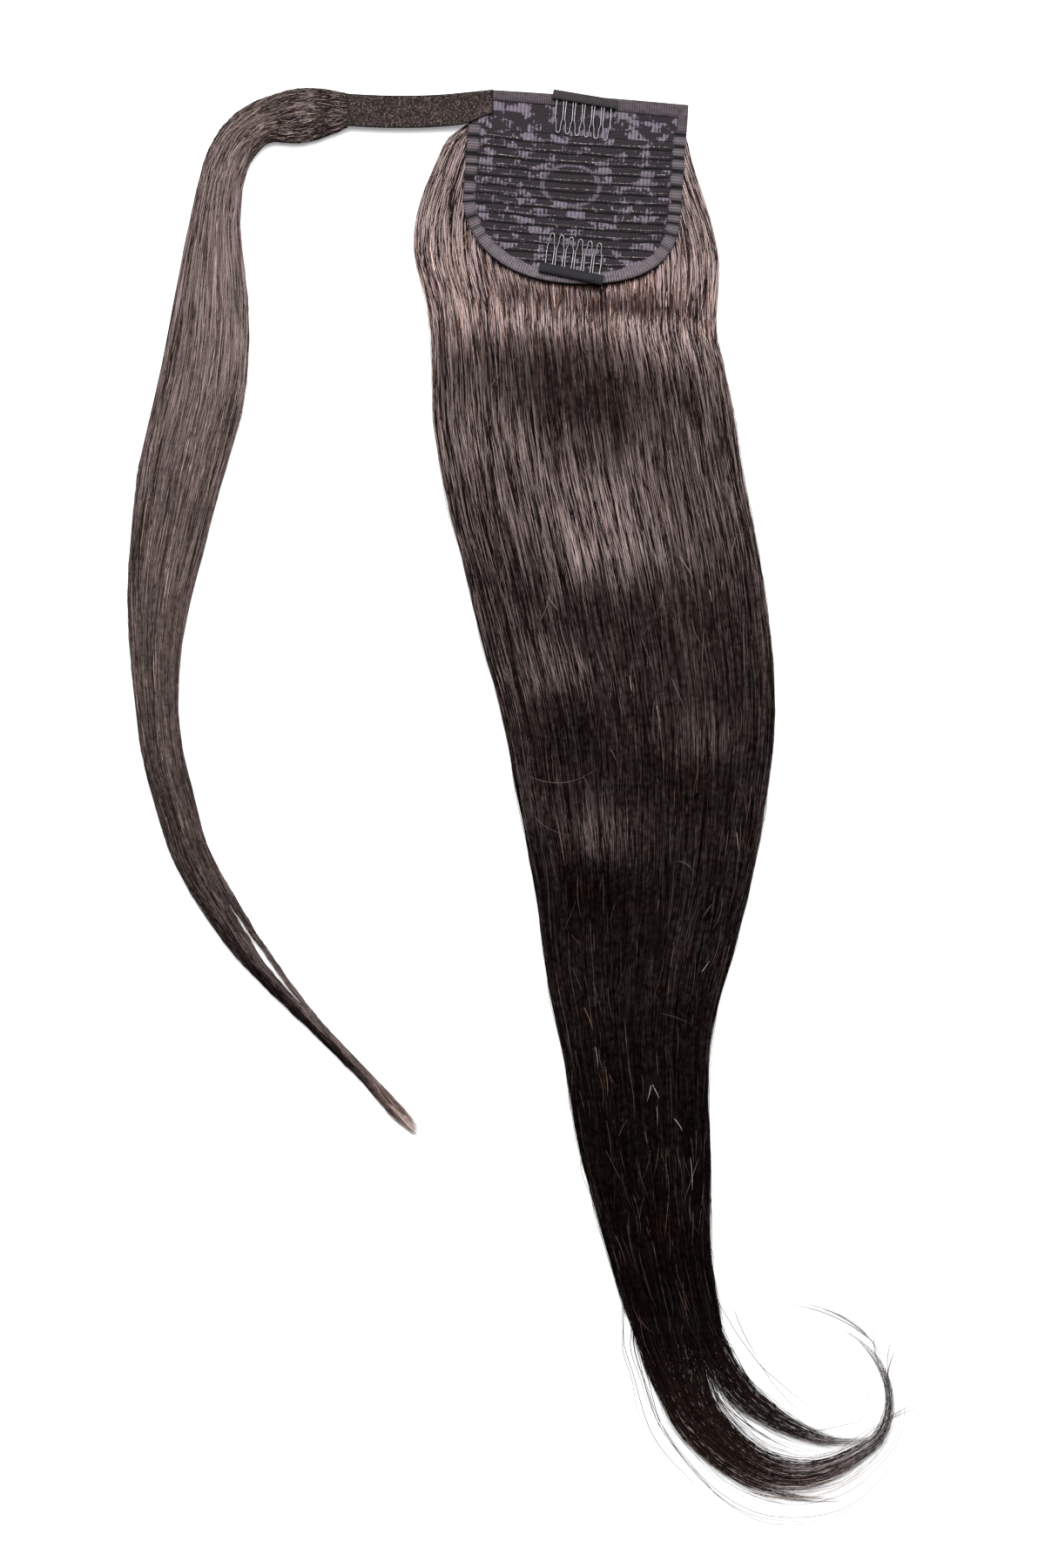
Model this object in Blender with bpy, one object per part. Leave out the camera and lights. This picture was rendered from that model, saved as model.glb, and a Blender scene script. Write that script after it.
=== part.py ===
"""Wrap-around clip-in ponytail hairpiece, laid on a table with the cap's inner side up.

The cap is a ribbed lace panel with a folded tape round its edge. It carries two wire combs and a
hook-and-loop strap. A long tail of hair hangs from its far side, and a shorter lock of hair, sewn
to the end of the strap, is what wraps round the wearer's own ponytail.

Lengths are metres. The cap has a frame of its own: x runs across it from its middle, and depth
runs down it from its top edge. Everything is laid out from the middle of that top edge.
"""

import math

import bmesh
import bpy
from mathutils import Matrix, Vector

# Clearance between neighbouring pieces
GAP = 0.0003

# Cap: the lace panel and how it lies
CAP_WIDTH = 0.0936
CAP_DEPTH = 0.0812
CAP_TURN = math.radians(-4.3)
STRAIGHT_SIDE = 0.0448
LEFT_ROUNDNESS = 2.0
RIGHT_ROUNDNESS = 3.0
CORNER_ROUNDNESS = 2.2
PANEL_THICKNESS = 0.0010
BAND_DEPTH = 0.0165
RIB_PITCH = 0.0040
RIB_RELIEF = 0.0009
RIB_SAG = 0.0015
ROWS_IN_RIB = 3
SEAT_AT_TOP = 0.0060
SEAT_AT_BOTTOM = 0.0112
CROWN = 0.0026

# Tape folded over the cap's edge
TAPE_WALL = 0.0010
TAPE_CHAMFER = 0.0003
EDGE_TAPE_WIDTH = 0.0054
EDGE_TAPE_PUFF = 0.0006
TOP_TAPE_WIDTH = 0.0046
TOP_TAPE_FLARE = 0.0016
TOP_TAPE_RETURN = 0.0120

# Hook-and-loop strap
STRAP_LENGTH = 0.0628
STRAP_WIDTH = 0.0138
STRAP_THICKNESS = 0.0016
STRAP_OVERLAP = 0.0100
STRAP_DIP = 0.0022
STRAP_EDGE = 0.0012
STRAP_END_HEIGHT = 0.0062
STRAP_TUCK = 0.0034
STRAP_TAPE_CLEARANCE = 0.0018

# Wire combs and the tape sleeves that hold them
COMB_TEETH = 6
TOOTH_PITCH = 0.0041
TOOTH_LENGTH = 0.0138
TOOTH_SPREAD = 0.0032
TOOTH_TIP = 0.0019
TOOTH_DIP = 0.0011
WIRE = 0.00055
SLEEVE_LENGTH = 0.0278
SLEEVE_WIDTH = 0.0040
SLEEVE_WALL = 0.0010
COMB_LEAN = math.radians(4.6)
TOP_COMB = {"x": 0.0022, "depth": 0.0022, "turn": math.radians(-5.2)}
BOTTOM_COMB = {"x": 0.0020, "rise": 0.0037, "turn": math.radians(172.3)}

# Tail of hair below the cap
TAIL_LENGTH = 0.5340
TAIL_WIDTH = 0.1305
TAIL_HEIGHT = 0.0160
TAIL_ROOT_DEPTH = 0.0095
TAIL_LOCKS = 8
TAIL_RELIEF = 0.0013
TAIL_CAP_STATIONS = 7
TAIL_STATIONS = 29
CAP_SHADOW = 0.0035
CAP_CLEARANCE = 0.0005

# Locks at the tail's tip
TIP_REACH = 0.1000
TIP_WIDTH = 0.0390
TIP_HEIGHT = 0.0056
TIP_LIFT = 0.0003
TIP_SIDES = 10

# Lock of hair that wraps round the wearer's ponytail
WRAP_DROP = 0.4405
WRAP_BOW = 0.0825
WRAP_WIDTH = 0.0386
WRAP_HEIGHT = 0.0100
WRAP_LOCKS = 5
WRAP_RELIEF = 0.0010
WRAP_STATIONS = 38

# Shape of a bundle of hair in section: how boxy its top is, how high its side turns under
# and how much of its width rests on the table
HAIR_CROWN = 2.6
HAIR_SHOULDER = 0.45
HAIR_TURN_UNDER = 0.26
HAIR_FOOT = 0.86

# The tail's sections. Along is a share of TAIL_LENGTH, sway and width are shares of TAIL_WIDTH,
# height is a share of TAIL_HEIGHT and relief of TAIL_RELIEF.
TAIL_ROWS = (
    # along, sway, width, height, relief
    (0.000, -0.018, 0.690, 0.34, 0.0),
    (0.014, -0.042, 0.790, 0.42, 0.0),
    (0.028, -0.052, 0.833, 0.50, 0.0),
    (0.056, -0.057, 0.911, 0.62, 0.2),
    (0.084, -0.052, 0.977, 0.72, 0.4),
    (0.112, -0.041, 1.000, 0.76, 0.5),
    (0.144, -0.026, 0.960, 0.80, 0.7),
    (0.172, -0.022, 0.940, 0.95, 0.8),
    (0.193, -0.008, 0.958, 1.00, 0.8),
    (0.242, 0.014, 0.989, 0.84, 0.9),
    (0.284, 0.041, 0.991, 0.84, 1.0),
    (0.326, 0.078, 0.997, 0.89, 1.0),
    (0.368, 0.116, 0.980, 0.92, 1.0),
    (0.411, 0.147, 0.957, 0.84, 1.0),
    (0.453, 0.178, 0.925, 0.74, 1.0),
    (0.495, 0.198, 0.885, 0.69, 1.0),
    (0.537, 0.204, 0.836, 0.70, 1.0),
    (0.579, 0.208, 0.773, 0.71, 1.0),
    (0.621, 0.206, 0.707, 0.66, 1.0),
    (0.663, 0.194, 0.638, 0.60, 1.0),
    (0.705, 0.183, 0.563, 0.56, 1.0),
    (0.747, 0.186, 0.489, 0.53, 1.0),
    (0.789, 0.199, 0.451, 0.50, 0.9),
    (0.832, 0.215, 0.431, 0.47, 0.9),
    (0.874, 0.239, 0.382, 0.44, 0.8),
    (0.916, 0.265, 0.336, 0.41, 0.7),
    (0.958, 0.305, 0.315, 0.38, 0.6),
    (0.985, 0.338, 0.270, 0.28, 0.4),
    (1.000, 0.349, 0.170, 0.12, 0.0),
)

# The tip's locks. Right and down are shares of TIP_REACH from the end of the tail's body,
# width is a share of TIP_WIDTH and height of TIP_HEIGHT.
TIP_ROWS = {
    "main": (
        # right, down, width, height
        (-0.190, -0.60, 0.45, 0.60),
        (-0.146, -0.38, 0.70, 0.80),
        (-0.070, -0.15, 0.78, 0.95),
        (-0.020, 0.02, 0.62, 1.00),
        (0.045, 0.19, 0.50, 1.00),
        (0.130, 0.30, 0.42, 0.95),
        (0.247, 0.40, 0.38, 0.90),
        (0.365, 0.46, 0.34, 0.85),
        (0.500, 0.48, 0.28, 0.75),
        (0.635, 0.45, 0.23, 0.65),
        (0.750, 0.39, 0.17, 0.55),
        (0.830, 0.33, 0.12, 0.48),
        (0.868, 0.25, 0.10, 0.42),
        (0.880, 0.16, 0.08, 0.36),
        (0.868, 0.08, 0.07, 0.32),
        (0.835, 0.00, 0.06, 0.28),
        (0.790, -0.06, 0.05, 0.24),
        (0.720, -0.12, 0.04, 0.20),
        (0.620, -0.17, 0.03, 0.15),
    ),
    "inner": (
        (-0.02, -0.60, 0.30, 0.60),
        (0.02, -0.38, 0.36, 0.75),
        (0.07, -0.16, 0.40, 0.80),
        (0.14, -0.01, 0.36, 0.80),
        (0.24, 0.13, 0.29, 0.72),
        (0.34, 0.21, 0.23, 0.62),
        (0.45, 0.28, 0.17, 0.50),
        (0.58, 0.33, 0.12, 0.40),
        (0.71, 0.34, 0.08, 0.32),
        (0.81, 0.325, 0.05, 0.24),
    ),
    "outer": (
        (-0.25, -0.42, 0.18, 0.45),
        (-0.20, -0.16, 0.18, 0.50),
        (-0.155, 0.00, 0.14, 0.50),
        (-0.09, 0.15, 0.12, 0.45),
        (-0.02, 0.28, 0.11, 0.40),
        (0.09, 0.40, 0.10, 0.34),
        (0.24, 0.50, 0.09, 0.28),
        (0.39, 0.56, 0.08, 0.24),
        (0.51, 0.585, 0.06, 0.20),
        (0.67, 0.59, 0.03, 0.15),
    ),
}

# The wrapping lock's sections. Left is a share of WRAP_BOW and down of WRAP_DROP, both from the
# strap's end. Inner and outer are half widths, as shares of WRAP_WIDTH, on the two sides of the
# bend. Height is a share of WRAP_HEIGHT, and lift a share of the height at which the strap ends.
WRAP_ROWS = (
    # left, down, inner, outer, height, lift
    (0.000, 0.0000, 0.190, 0.185, 0.55, 1.00),
    (0.060, 0.0000, 0.255, 0.225, 0.85, 0.60),
    (0.155, 0.0010, 0.315, 0.260, 1.15, 0.15),
    (0.270, 0.0040, 0.325, 0.280, 1.20, 0.00),
    (0.360, 0.0085, 0.285, 0.275, 1.12, 0.00),
    (0.435, 0.0140, 0.215, 0.275, 1.05, 0.00),
    (0.535, 0.0270, 0.225, 0.270, 1.00, 0.00),
    (0.615, 0.0500, 0.235, 0.265, 0.96, 0.00),
    (0.665, 0.0810, 0.245, 0.255, 0.92, 0.00),
    (0.693, 0.1200, 0.295, 0.290, 0.86, 0.00),
    (0.700, 0.1580, 0.375, 0.370, 0.84, 0.00),
    (0.707, 0.2000, 0.440, 0.440, 0.84, 0.00),
    (0.730, 0.2430, 0.480, 0.480, 0.84, 0.00),
    (0.770, 0.2850, 0.500, 0.500, 0.84, 0.00),
    (0.828, 0.3280, 0.490, 0.490, 0.84, 0.00),
    (0.883, 0.3700, 0.465, 0.465, 0.82, 0.00),
    (0.930, 0.4210, 0.417, 0.417, 0.80, 0.00),
    (0.965, 0.4550, 0.374, 0.374, 0.80, 0.00),
    (0.990, 0.4970, 0.325, 0.325, 0.78, 0.00),
    (1.000, 0.5400, 0.272, 0.272, 0.76, 0.00),
    (0.987, 0.5820, 0.240, 0.240, 0.74, 0.00),
    (0.960, 0.6250, 0.232, 0.232, 0.71, 0.00),
    (0.905, 0.6670, 0.223, 0.223, 0.68, 0.00),
    (0.842, 0.7100, 0.215, 0.215, 0.63, 0.00),
    (0.763, 0.7440, 0.203, 0.203, 0.58, 0.00),
    (0.655, 0.7780, 0.175, 0.175, 0.53, 0.00),
    (0.537, 0.8120, 0.140, 0.150, 0.48, 0.00),
    (0.391, 0.8460, 0.095, 0.100, 0.42, 0.00),
    (0.227, 0.8800, 0.080, 0.080, 0.36, 0.00),
    (0.050, 0.9140, 0.072, 0.072, 0.31, 0.00),
    (-0.127, 0.9480, 0.068, 0.068, 0.27, 0.00),
    (-0.291, 0.9820, 0.066, 0.066, 0.20, 0.00),
    (-0.377, 1.0000, 0.022, 0.022, 0.10, 0.00),
)

TAPE_THICKNESS = PANEL_THICKNESS + 2 * GAP + 2 * TAPE_WALL
PANEL_INSET = TAPE_WALL + GAP
SLEEVE_THICKNESS = WIRE + 2 * GAP + 2 * SLEEVE_WALL


def clear_scene():
    for old in list(bpy.data.objects):
        bpy.data.objects.remove(old)


def material(name, colour, roughness, metallic=0.0):
    made = bpy.data.materials.new(name)
    made.use_nodes = True
    shader = made.node_tree.nodes["Principled BSDF"]
    shader.inputs["Base Color"].default_value = (*colour, 1.0)
    shader.inputs["Roughness"].default_value = roughness
    shader.inputs["Metallic"].default_value = metallic
    return made


def add_loft(name, rings, finish):
    """A closed solid through rings that each have the same number of points."""
    mesh = bmesh.new()
    rows = [[mesh.verts.new(point) for point in ring] for ring in rings]
    count = len(rows[0])
    for near, far in zip(rows, rows[1:]):
        for i in range(count):
            j = (i + 1) % count
            mesh.faces.new((near[i], near[j], far[j], far[i]))
    mesh.faces.new(rows[0])
    mesh.faces.new(rows[-1])
    bmesh.ops.recalc_face_normals(mesh, faces=mesh.faces)
    data = bpy.data.meshes.new(name)
    mesh.to_mesh(data)
    mesh.free()
    data.shade_smooth()
    data.set_sharp_from_angle(angle=math.radians(40))
    data.materials.append(finish)
    made = bpy.data.objects.new(name, data)
    bpy.context.scene.collection.objects.link(made)
    return made


def smooth_step(share):
    share = min(max(share, 0.0), 1.0)
    return share * share * (3 - 2 * share)


def steps_between(start, end, count):
    """count places at even steps, the first at start and the last at end."""
    return [start + (end - start) * step / (count - 1) for step in range(count)]


def along_rows(rows):
    """How far along their path the rows of a table lie. Their first two values are places."""
    places = [0.0]
    for last, row in zip(rows, rows[1:]):
        places.append(places[-1] + math.hypot(row[0] - last[0], row[1] - last[1]))
    return places


def read_rows(rows, places, wanted):
    """Rows of a table at the wanted places, along a smooth curve through them."""
    found = []
    for place in wanted:
        i = max(k for k in range(len(rows) - 1) if k == 0 or places[k] <= place)
        share = (place - places[i]) / (places[i + 1] - places[i])
        before, start = rows[max(i - 1, 0)], rows[i]
        end, after = rows[i + 1], rows[min(i + 2, len(rows) - 1)]
        found.append([spline(*four, share) for four in zip(before, start, end, after)])
    return found


def spline(before, start, end, after, share):
    """A Catmull-Rom curve from start to end."""
    bend = 2 * start - 2 * end + (end - before) / 2 + (after - start) / 2
    swing = 3 * (end - start) - (end - before) - (after - start) / 2
    return ((bend * share + swing) * share + (end - before) / 2) * share + start


def cap_point(x, depth):
    """A place on the cap, seen from above, in the layout's frame."""
    place = Matrix.Rotation(CAP_TURN, 2) @ Vector((x, -depth))
    return place.x, place.y


def on_cap(x, y):
    """Where a point of the layout lies on the cap: x and depth."""
    place = Matrix.Rotation(-CAP_TURN, 2) @ Vector((x, y))
    return place.x, -place.y


def panel_height(x, depth):
    """Height of the middle of the panel's thickness. The panel leans and is crowned across."""
    seat = SEAT_AT_TOP + (SEAT_AT_BOTTOM - SEAT_AT_TOP) * depth / CAP_DEPTH
    return seat + CROWN * (1 - (2 * x / CAP_WIDTH) ** 2)


def raised(x, depth, up):
    """A point at a height over the middle of the panel's thickness."""
    return (*cap_point(x, depth), panel_height(x, depth) + up)


def half_width(depth, roundness, inset):
    """Half the cap's width at a depth, with its lower corners rounded off."""
    share = (depth - STRAIGHT_SIDE) / (CAP_DEPTH - STRAIGHT_SIDE - inset)
    corner = 1 - min(max(share, 0.0), 1.0) ** roundness
    return (CAP_WIDTH / 2 - inset) * corner ** (1 / CORNER_ROUNDNESS)


def outline_corner(side, roundness, steps=15):
    """Points of one lower corner, from the end of its straight side to the cap's lowest point."""
    points = []
    for step in range(1, steps + 1):
        angle = math.pi / 2 * step / steps
        x = side * CAP_WIDTH / 2 * max(math.cos(angle), 0.0) ** (2 / CORNER_ROUNDNESS)
        drop = (CAP_DEPTH - STRAIGHT_SIDE) * math.sin(angle) ** (2 / roundness)
        points.append((x, STRAIGHT_SIDE + drop))
    return points


def side_points(x, start):
    """Points down a straight side, two to a rib."""
    steps = 2 * max(round((STRAIGHT_SIDE - start) / RIB_PITCH), 2)
    length = STRAIGHT_SIDE - start
    return [(x, start + length * step / steps) for step in range(steps + 1)]


def cap_outline(left_start, right_start):
    """The cap's outline as x and depth, down its left side, round its bottom and up its right."""
    half = CAP_WIDTH / 2
    left = side_points(-half, left_start) + outline_corner(-1, LEFT_ROUNDNESS)
    right = side_points(half, right_start) + outline_corner(1, RIGHT_ROUNDNESS)
    return left + right[-2::-1]


def panel_columns(depth):
    """Where the panel's columns of points lie at a depth, and which of them may rise as a rib."""
    columns, clear = 10, EDGE_TAPE_WIDTH + 2 * GAP + RIB_PITCH / ROWS_IN_RIB
    ends, inner = [], []
    for side, roundness in ((-1, LEFT_ROUNDNESS), (1, RIGHT_ROUNDNESS)):
        end = half_width(depth, roundness, PANEL_INSET)
        ends.append(side * end)
        inner.append(side * max(half_width(depth, roundness, clear), 0.6 * end))
    free = depth < CAP_DEPTH - clear and abs(inner[0]) > 0.6 * abs(ends[0])
    places = [ends[0]] + steps_between(inner[0], inner[1], columns) + [ends[1]]
    return [(x, 1.0 if free and 1 < i < columns else 0.0) for i, x in enumerate(places)]


def make_panel(finish):
    """The lace panel, with a rib for each row of hair sewn to its far side."""
    under_columns = 6
    lowest = 0.985 * (CAP_DEPTH - PANEL_INSET)
    ribs = round((lowest - BAND_DEPTH) / RIB_PITCH)
    depths = [(PANEL_INSET, 0.0), (BAND_DEPTH - RIB_PITCH / ROWS_IN_RIB, 0.0)]
    for step, depth in enumerate(steps_between(BAND_DEPTH, lowest, ribs * ROWS_IN_RIB + 1)):
        depths.append((depth, 0.0 if step % ROWS_IN_RIB == 0 else 1.0))
    rings = []
    for depth, ridge in depths:
        columns = panel_columns(depth)
        left, right = columns[0][0], columns[-1][0]
        middle = (depth - PANEL_INSET) * (lowest - depth) * 4 / lowest**2

        def sag(x):
            share = (x - left) / (right - left)
            return RIB_SAG * middle * 4 * share * (1 - share)

        ring = []
        for x, rib in columns:
            up = PANEL_THICKNESS / 2 + RIB_RELIEF * ridge * rib
            ring.append(raised(x, depth + sag(x), up))
        for x in steps_between(right, left, under_columns):
            ring.append(raised(x, depth + sag(x), -PANEL_THICKNESS / 2))
        rings.append(ring)
    return add_loft("cap_panel", rings, finish)


def tape_profile(width, puff):
    """Section of a tape folded over the panel's edge: how far in from the edge, and how high."""
    half, slot = TAPE_THICKNESS / 2, PANEL_THICKNESS / 2 + GAP
    return (
        (TAPE_CHAMFER, -half),
        (0.0, TAPE_CHAMFER - half),
        (0.0, half - TAPE_CHAMFER),
        (TAPE_CHAMFER, half),
        (width / 2, half + puff),
        (width, half - TAPE_CHAMFER),
        (width, slot),
        (TAPE_WALL, slot),
        (TAPE_WALL, -slot),
        (width, -slot),
        (width, -half),
    )


def tape_ring(x, depth, outward, width, puff=0.0):
    """The tape's section at a point of the cap's outline; outward is in x and depth."""
    return [
        raised(x - outward[0] * inward, depth - outward[1] * inward, up)
        for inward, up in tape_profile(width, puff)
    ]


def make_edge_tape(finish):
    """The tape round the panel's sides and bottom, puffed between the ribs at the sides."""
    path = cap_outline(STRAP_WIDTH + STRAP_TAPE_CLEARANCE, TOP_TAPE_RETURN + GAP)
    rings = []
    for i, (x, depth) in enumerate(path):
        before, after = path[max(i - 1, 0)], path[min(i + 1, len(path) - 1)]
        along = Vector((after[0] - before[0], after[1] - before[1])).normalized()
        on_side = smooth_step((CAP_DEPTH - depth) / (CAP_DEPTH - STRAIGHT_SIDE))
        puff = EDGE_TAPE_PUFF * on_side * (i % 2)
        rings.append(tape_ring(x, depth, (-along.y, along.x), EDGE_TAPE_WIDTH, puff))
    return add_loft("edge_tape", rings, finish)


def make_top_tape(finish):
    """The tape along the cap's top edge, turned down its right-hand end."""
    half = CAP_WIDTH / 2
    start, steps = STRAP_OVERLAP + GAP - half, 12
    rings = []
    for step in range(steps):
        share = step / steps
        width = TOP_TAPE_WIDTH + TOP_TAPE_FLARE * share
        rings.append(tape_ring(start + (half - start) * share, 0.0, (0, -1), width))
    rings.append(tape_ring(half, 0.0, (1, -1), TOP_TAPE_WIDTH + TOP_TAPE_FLARE))
    rings.append(tape_ring(half, TOP_TAPE_RETURN, (1, 0), TOP_TAPE_WIDTH))
    return add_loft("top_tape", rings, finish)


def strap_middle(share):
    """The middle of the strap, seen from above, at a share of its length from the cap."""
    x, y = cap_point(STRAP_OVERLAP - CAP_WIDTH / 2, STRAP_WIDTH / 2)
    return x - STRAP_LENGTH * share, y - STRAP_DIP * math.sin(math.pi * 0.8 * share)


def strap_height(x, y, share):
    """Height of the middle of the strap's thickness: on the panel, then down to its end."""
    on_panel = PANEL_THICKNESS / 2 + GAP + STRAP_THICKNESS / 2
    lying = panel_height(*on_cap(x, y)) + on_panel
    left_cap = smooth_step((share * STRAP_LENGTH - STRAP_OVERLAP) / (0.4 * STRAP_LENGTH))
    return lying + (STRAP_END_HEIGHT - lying) * left_cap


def make_strap(finish):
    """The strap, with thinner woven edges. It narrows where it is sewn on the cap's corner."""
    stations, half, thick = 22, STRAP_WIDTH / 2, STRAP_THICKNESS / 2
    rings = []
    for share in steps_between(0.0, 1.0, stations):
        x, y = strap_middle(share)
        sewn = 1 - smooth_step(share * STRAP_LENGTH / (1.4 * STRAP_OVERLAP))
        low = STRAP_TUCK * sewn - half
        profile = (
            (low, thick / 2),
            (low + STRAP_EDGE, thick),
            (half - STRAP_EDGE, thick),
            (half, thick / 2),
            (half, -thick),
            (low, -thick),
        )
        rings.append([(x, y + up, strap_height(x, y + up, share) + z) for up, z in profile])
    return add_loft("wrap_strap", rings, finish)


def comb_frame(comb):
    """A comb's frame on the cap: its origin lies on the tape under the middle of its sleeve,
    +X runs along the sleeve, +Y away from the teeth and +Z off the panel."""
    x, depth = comb["x"], comb.get("depth", CAP_DEPTH - comb.get("rise", 0.0))
    step = SLEEVE_LENGTH / 2
    origin = Vector(raised(x, depth, TAPE_THICKNESS / 2 + GAP))
    across = Vector(raised(x + step, depth, 0)) - Vector(raised(x - step, depth, 0))
    down = Vector(raised(x, depth + step, 0)) - Vector(raised(x, depth - step, 0))
    up = down.cross(across).normalized()
    across.normalize()
    frame = Matrix((across, up.cross(across), up)).transposed().to_4x4()
    return Matrix.Translation(origin) @ frame @ Matrix.Rotation(comb["turn"], 4, "Z")


def make_sleeve(name, comb, finish):
    """The folded tape that holds a comb's back, open towards the teeth."""
    half, slot = SLEEVE_THICKNESS / 2, WIRE / 2 + GAP
    back, front = SLEEVE_WIDTH / 2, -SLEEVE_WIDTH / 2
    profile = (
        (front, 0.0),
        (back - TAPE_CHAMFER, 0.0),
        (back, TAPE_CHAMFER),
        (back, 2 * half - TAPE_CHAMFER),
        (back - TAPE_CHAMFER, 2 * half),
        (front + TAPE_CHAMFER, 2 * half),
        (front, 2 * half - TAPE_CHAMFER),
        (front, half + slot),
        (back - SLEEVE_WALL, half + slot),
        (back - SLEEVE_WALL, half - slot),
        (front, half - slot),
    )
    steps = 4
    rings = []
    for step in range(steps + 1):
        x = SLEEVE_LENGTH * (step / steps - 0.5)
        rings.append([(x, y, z) for y, z in profile])
    sleeve = add_loft(name, rings, finish)
    sleeve.matrix_world = comb_frame(comb)
    return sleeve


def tooth_points():
    """One tooth of bent wire: out along its left leg, round its tip and back up its right leg."""
    outline = (
        # share of the tooth's length, half width, share of its dip
        (0.00, TOOTH_SPREAD / 2 - WIRE / 4, 0.0),
        (0.35, TOOTH_SPREAD / 2, -0.25),
        (0.58, TOOTH_SPREAD / 2, 0.1),
        (0.68, TOOTH_SPREAD / 2 - WIRE, 0.35),
        (0.88, TOOTH_TIP / 2, 0.8),
        (0.96, TOOTH_TIP / 2 * 0.8, 0.95),
        (1.00, TOOTH_TIP / 2 * 0.3, 1.0),
    )
    left = [(-wide, length, dip) for length, wide, dip in outline]
    right = [(wide, length, dip) for length, wide, dip in reversed(outline)]
    return left + right


def make_comb(name, comb, finish):
    """Six hairpin teeth bent from one wire, whose upper turns lie in the sleeve's slot."""
    inside = SLEEVE_WIDTH / 2 - SLEEVE_WALL - GAP - WIRE / 2
    points = []
    for tooth in range(COMB_TEETH):
        middle = (tooth - (COMB_TEETH - 1) / 2) * TOOTH_PITCH
        reach = [(middle - TOOTH_SPREAD / 2, 0.0)] + [(middle + TOOTH_SPREAD / 2, 0.0)]
        points.append((reach[0][0], inside, 0.0))
        for x, length, dip in tooth_points():
            out = SLEEVE_WIDTH / 2 + length * TOOTH_LENGTH
            lean = math.tan(COMB_LEAN) * length * TOOTH_LENGTH
            points.append((middle + x + lean, -out, -TOOTH_DIP * dip))
        points.append((reach[1][0], inside, 0.0))
    route = bpy.data.curves.new(name, "CURVE")
    route.dimensions = "3D"
    route.bevel_depth = WIRE / 2
    route.bevel_resolution = 1
    route.use_fill_caps = True
    line = route.splines.new("POLY")
    line.points.add(len(points) - 1)
    for place, (x, y, z) in zip(line.points, points):
        place.co = (x, y, z + SLEEVE_THICKNESS / 2, 1.0)
    route.materials.append(finish)
    made = bpy.data.objects.new(name, route)
    bpy.context.scene.collection.objects.link(made)
    made.matrix_world = comb_frame(comb)
    return made


def hair_section(left, right, height, bottom, locks, relief):
    """Section of a bundle of hair as (sideways, up): locks side by side over a flat foot."""
    points = []
    for step in range(4 * locks + 1):
        place = 2 * step / (4 * locks) - 1
        side = 0.6 * place + 0.4 * math.sin(math.pi / 2 * place)
        reach = right if side > 0 else left
        top = (1 - abs(side) ** HAIR_CROWN) ** HAIR_SHOULDER if abs(side) < 1 else 0.0
        valley = (1.0, 0.2, 0.0, 0.2)[step % 4] * relief * top
        rise = HAIR_TURN_UNDER + (1 - HAIR_TURN_UNDER) * top
        points.append((side * reach, bottom + height * rise - valley))
    points.append((right * HAIR_FOOT, bottom))
    points.append((-left * HAIR_FOOT, bottom))
    return points


def under_cap(x, y, z):
    """The height of the hair's surface, kept below the tape and the panel where the cap lies."""
    across, depth = on_cap(x, y)
    below = TAPE_THICKNESS / 2 + CAP_CLEARANCE
    ceiling = panel_height(across, depth) - below
    clear = smooth_step((depth - CAP_DEPTH - CAP_SHADOW) / (TAIL_LENGTH * 0.03))
    return min(z, ceiling + TAIL_HEIGHT * clear)


def tail_place(along, sway):
    """A point of the tail's middle line, seen from above."""
    root_y = cap_point(0.0, TAIL_ROOT_DEPTH)[1]
    return sway * TAIL_WIDTH, root_y - along * TAIL_LENGTH


def make_tail_body(finish):
    """The long bundle, as locks side by side that thin out towards the tip."""
    places = [row[0] for row in TAIL_ROWS]
    cap_end = (CAP_DEPTH + CAP_SHADOW - TAIL_ROOT_DEPTH) / TAIL_LENGTH
    wanted = steps_between(0.0, cap_end, TAIL_CAP_STATIONS)
    wanted += steps_between(cap_end, 1.0, TAIL_STATIONS)[1:]
    rings = []
    for along, sway, width, height, relief in read_rows(TAIL_ROWS, places, wanted):
        middle, y = tail_place(along, sway)
        half = width * TAIL_WIDTH / 2
        section = hair_section(
            half, half, height * TAIL_HEIGHT, 0.0, TAIL_LOCKS, relief * TAIL_RELIEF
        )
        rings.append([(middle + x, y, under_cap(middle + x, y, z)) for x, z in section])
    return add_loft("tail_hair", rings, finish)


def swept_rings(stations, make_ring):
    """Rings square to a path. A station starts with its x and y; make_ring gives the section."""
    rings = []
    for i, station in enumerate(stations):
        before, after = stations[max(i - 1, 0)], stations[min(i + 1, len(stations) - 1)]
        along = Vector((after[0] - before[0], after[1] - before[1])).normalized()
        across = Vector((-along.y, along.x))
        x, y = station[0], station[1]
        ring = make_ring(station)
        rings.append([(x + across.x * side, y + across.y * side, z) for side, z in ring])
    return rings


def tip_section(station):
    """An oval section that stands just clear of the table."""
    half, tall = station[2] / 2, station[3]
    angles = [2 * math.pi * (step + 0.5) / TIP_SIDES for step in range(TIP_SIDES)]
    return [
        (half * math.cos(angle), TIP_LIFT + tall * (1 + math.sin(angle)) / 2)
        for angle in angles
    ]


def make_tip_lock(name, rows, finish):
    """One lock of the tip, from inside the tail's body to its own end."""
    last = TAIL_ROWS[-1]
    end_x, end_y = tail_place(last[0], last[1])
    stations = []
    places = along_rows(rows)
    wanted = steps_between(0.0, places[-1], 2 * len(rows) - 3)
    for right, down, width, height in read_rows(rows, places, wanted):
        place = (end_x + right * TIP_REACH, end_y - down * TIP_REACH)
        stations.append((*place, width * TIP_WIDTH, height * TIP_HEIGHT))
    return add_loft(name, swept_rings(stations, tip_section), finish)


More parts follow.
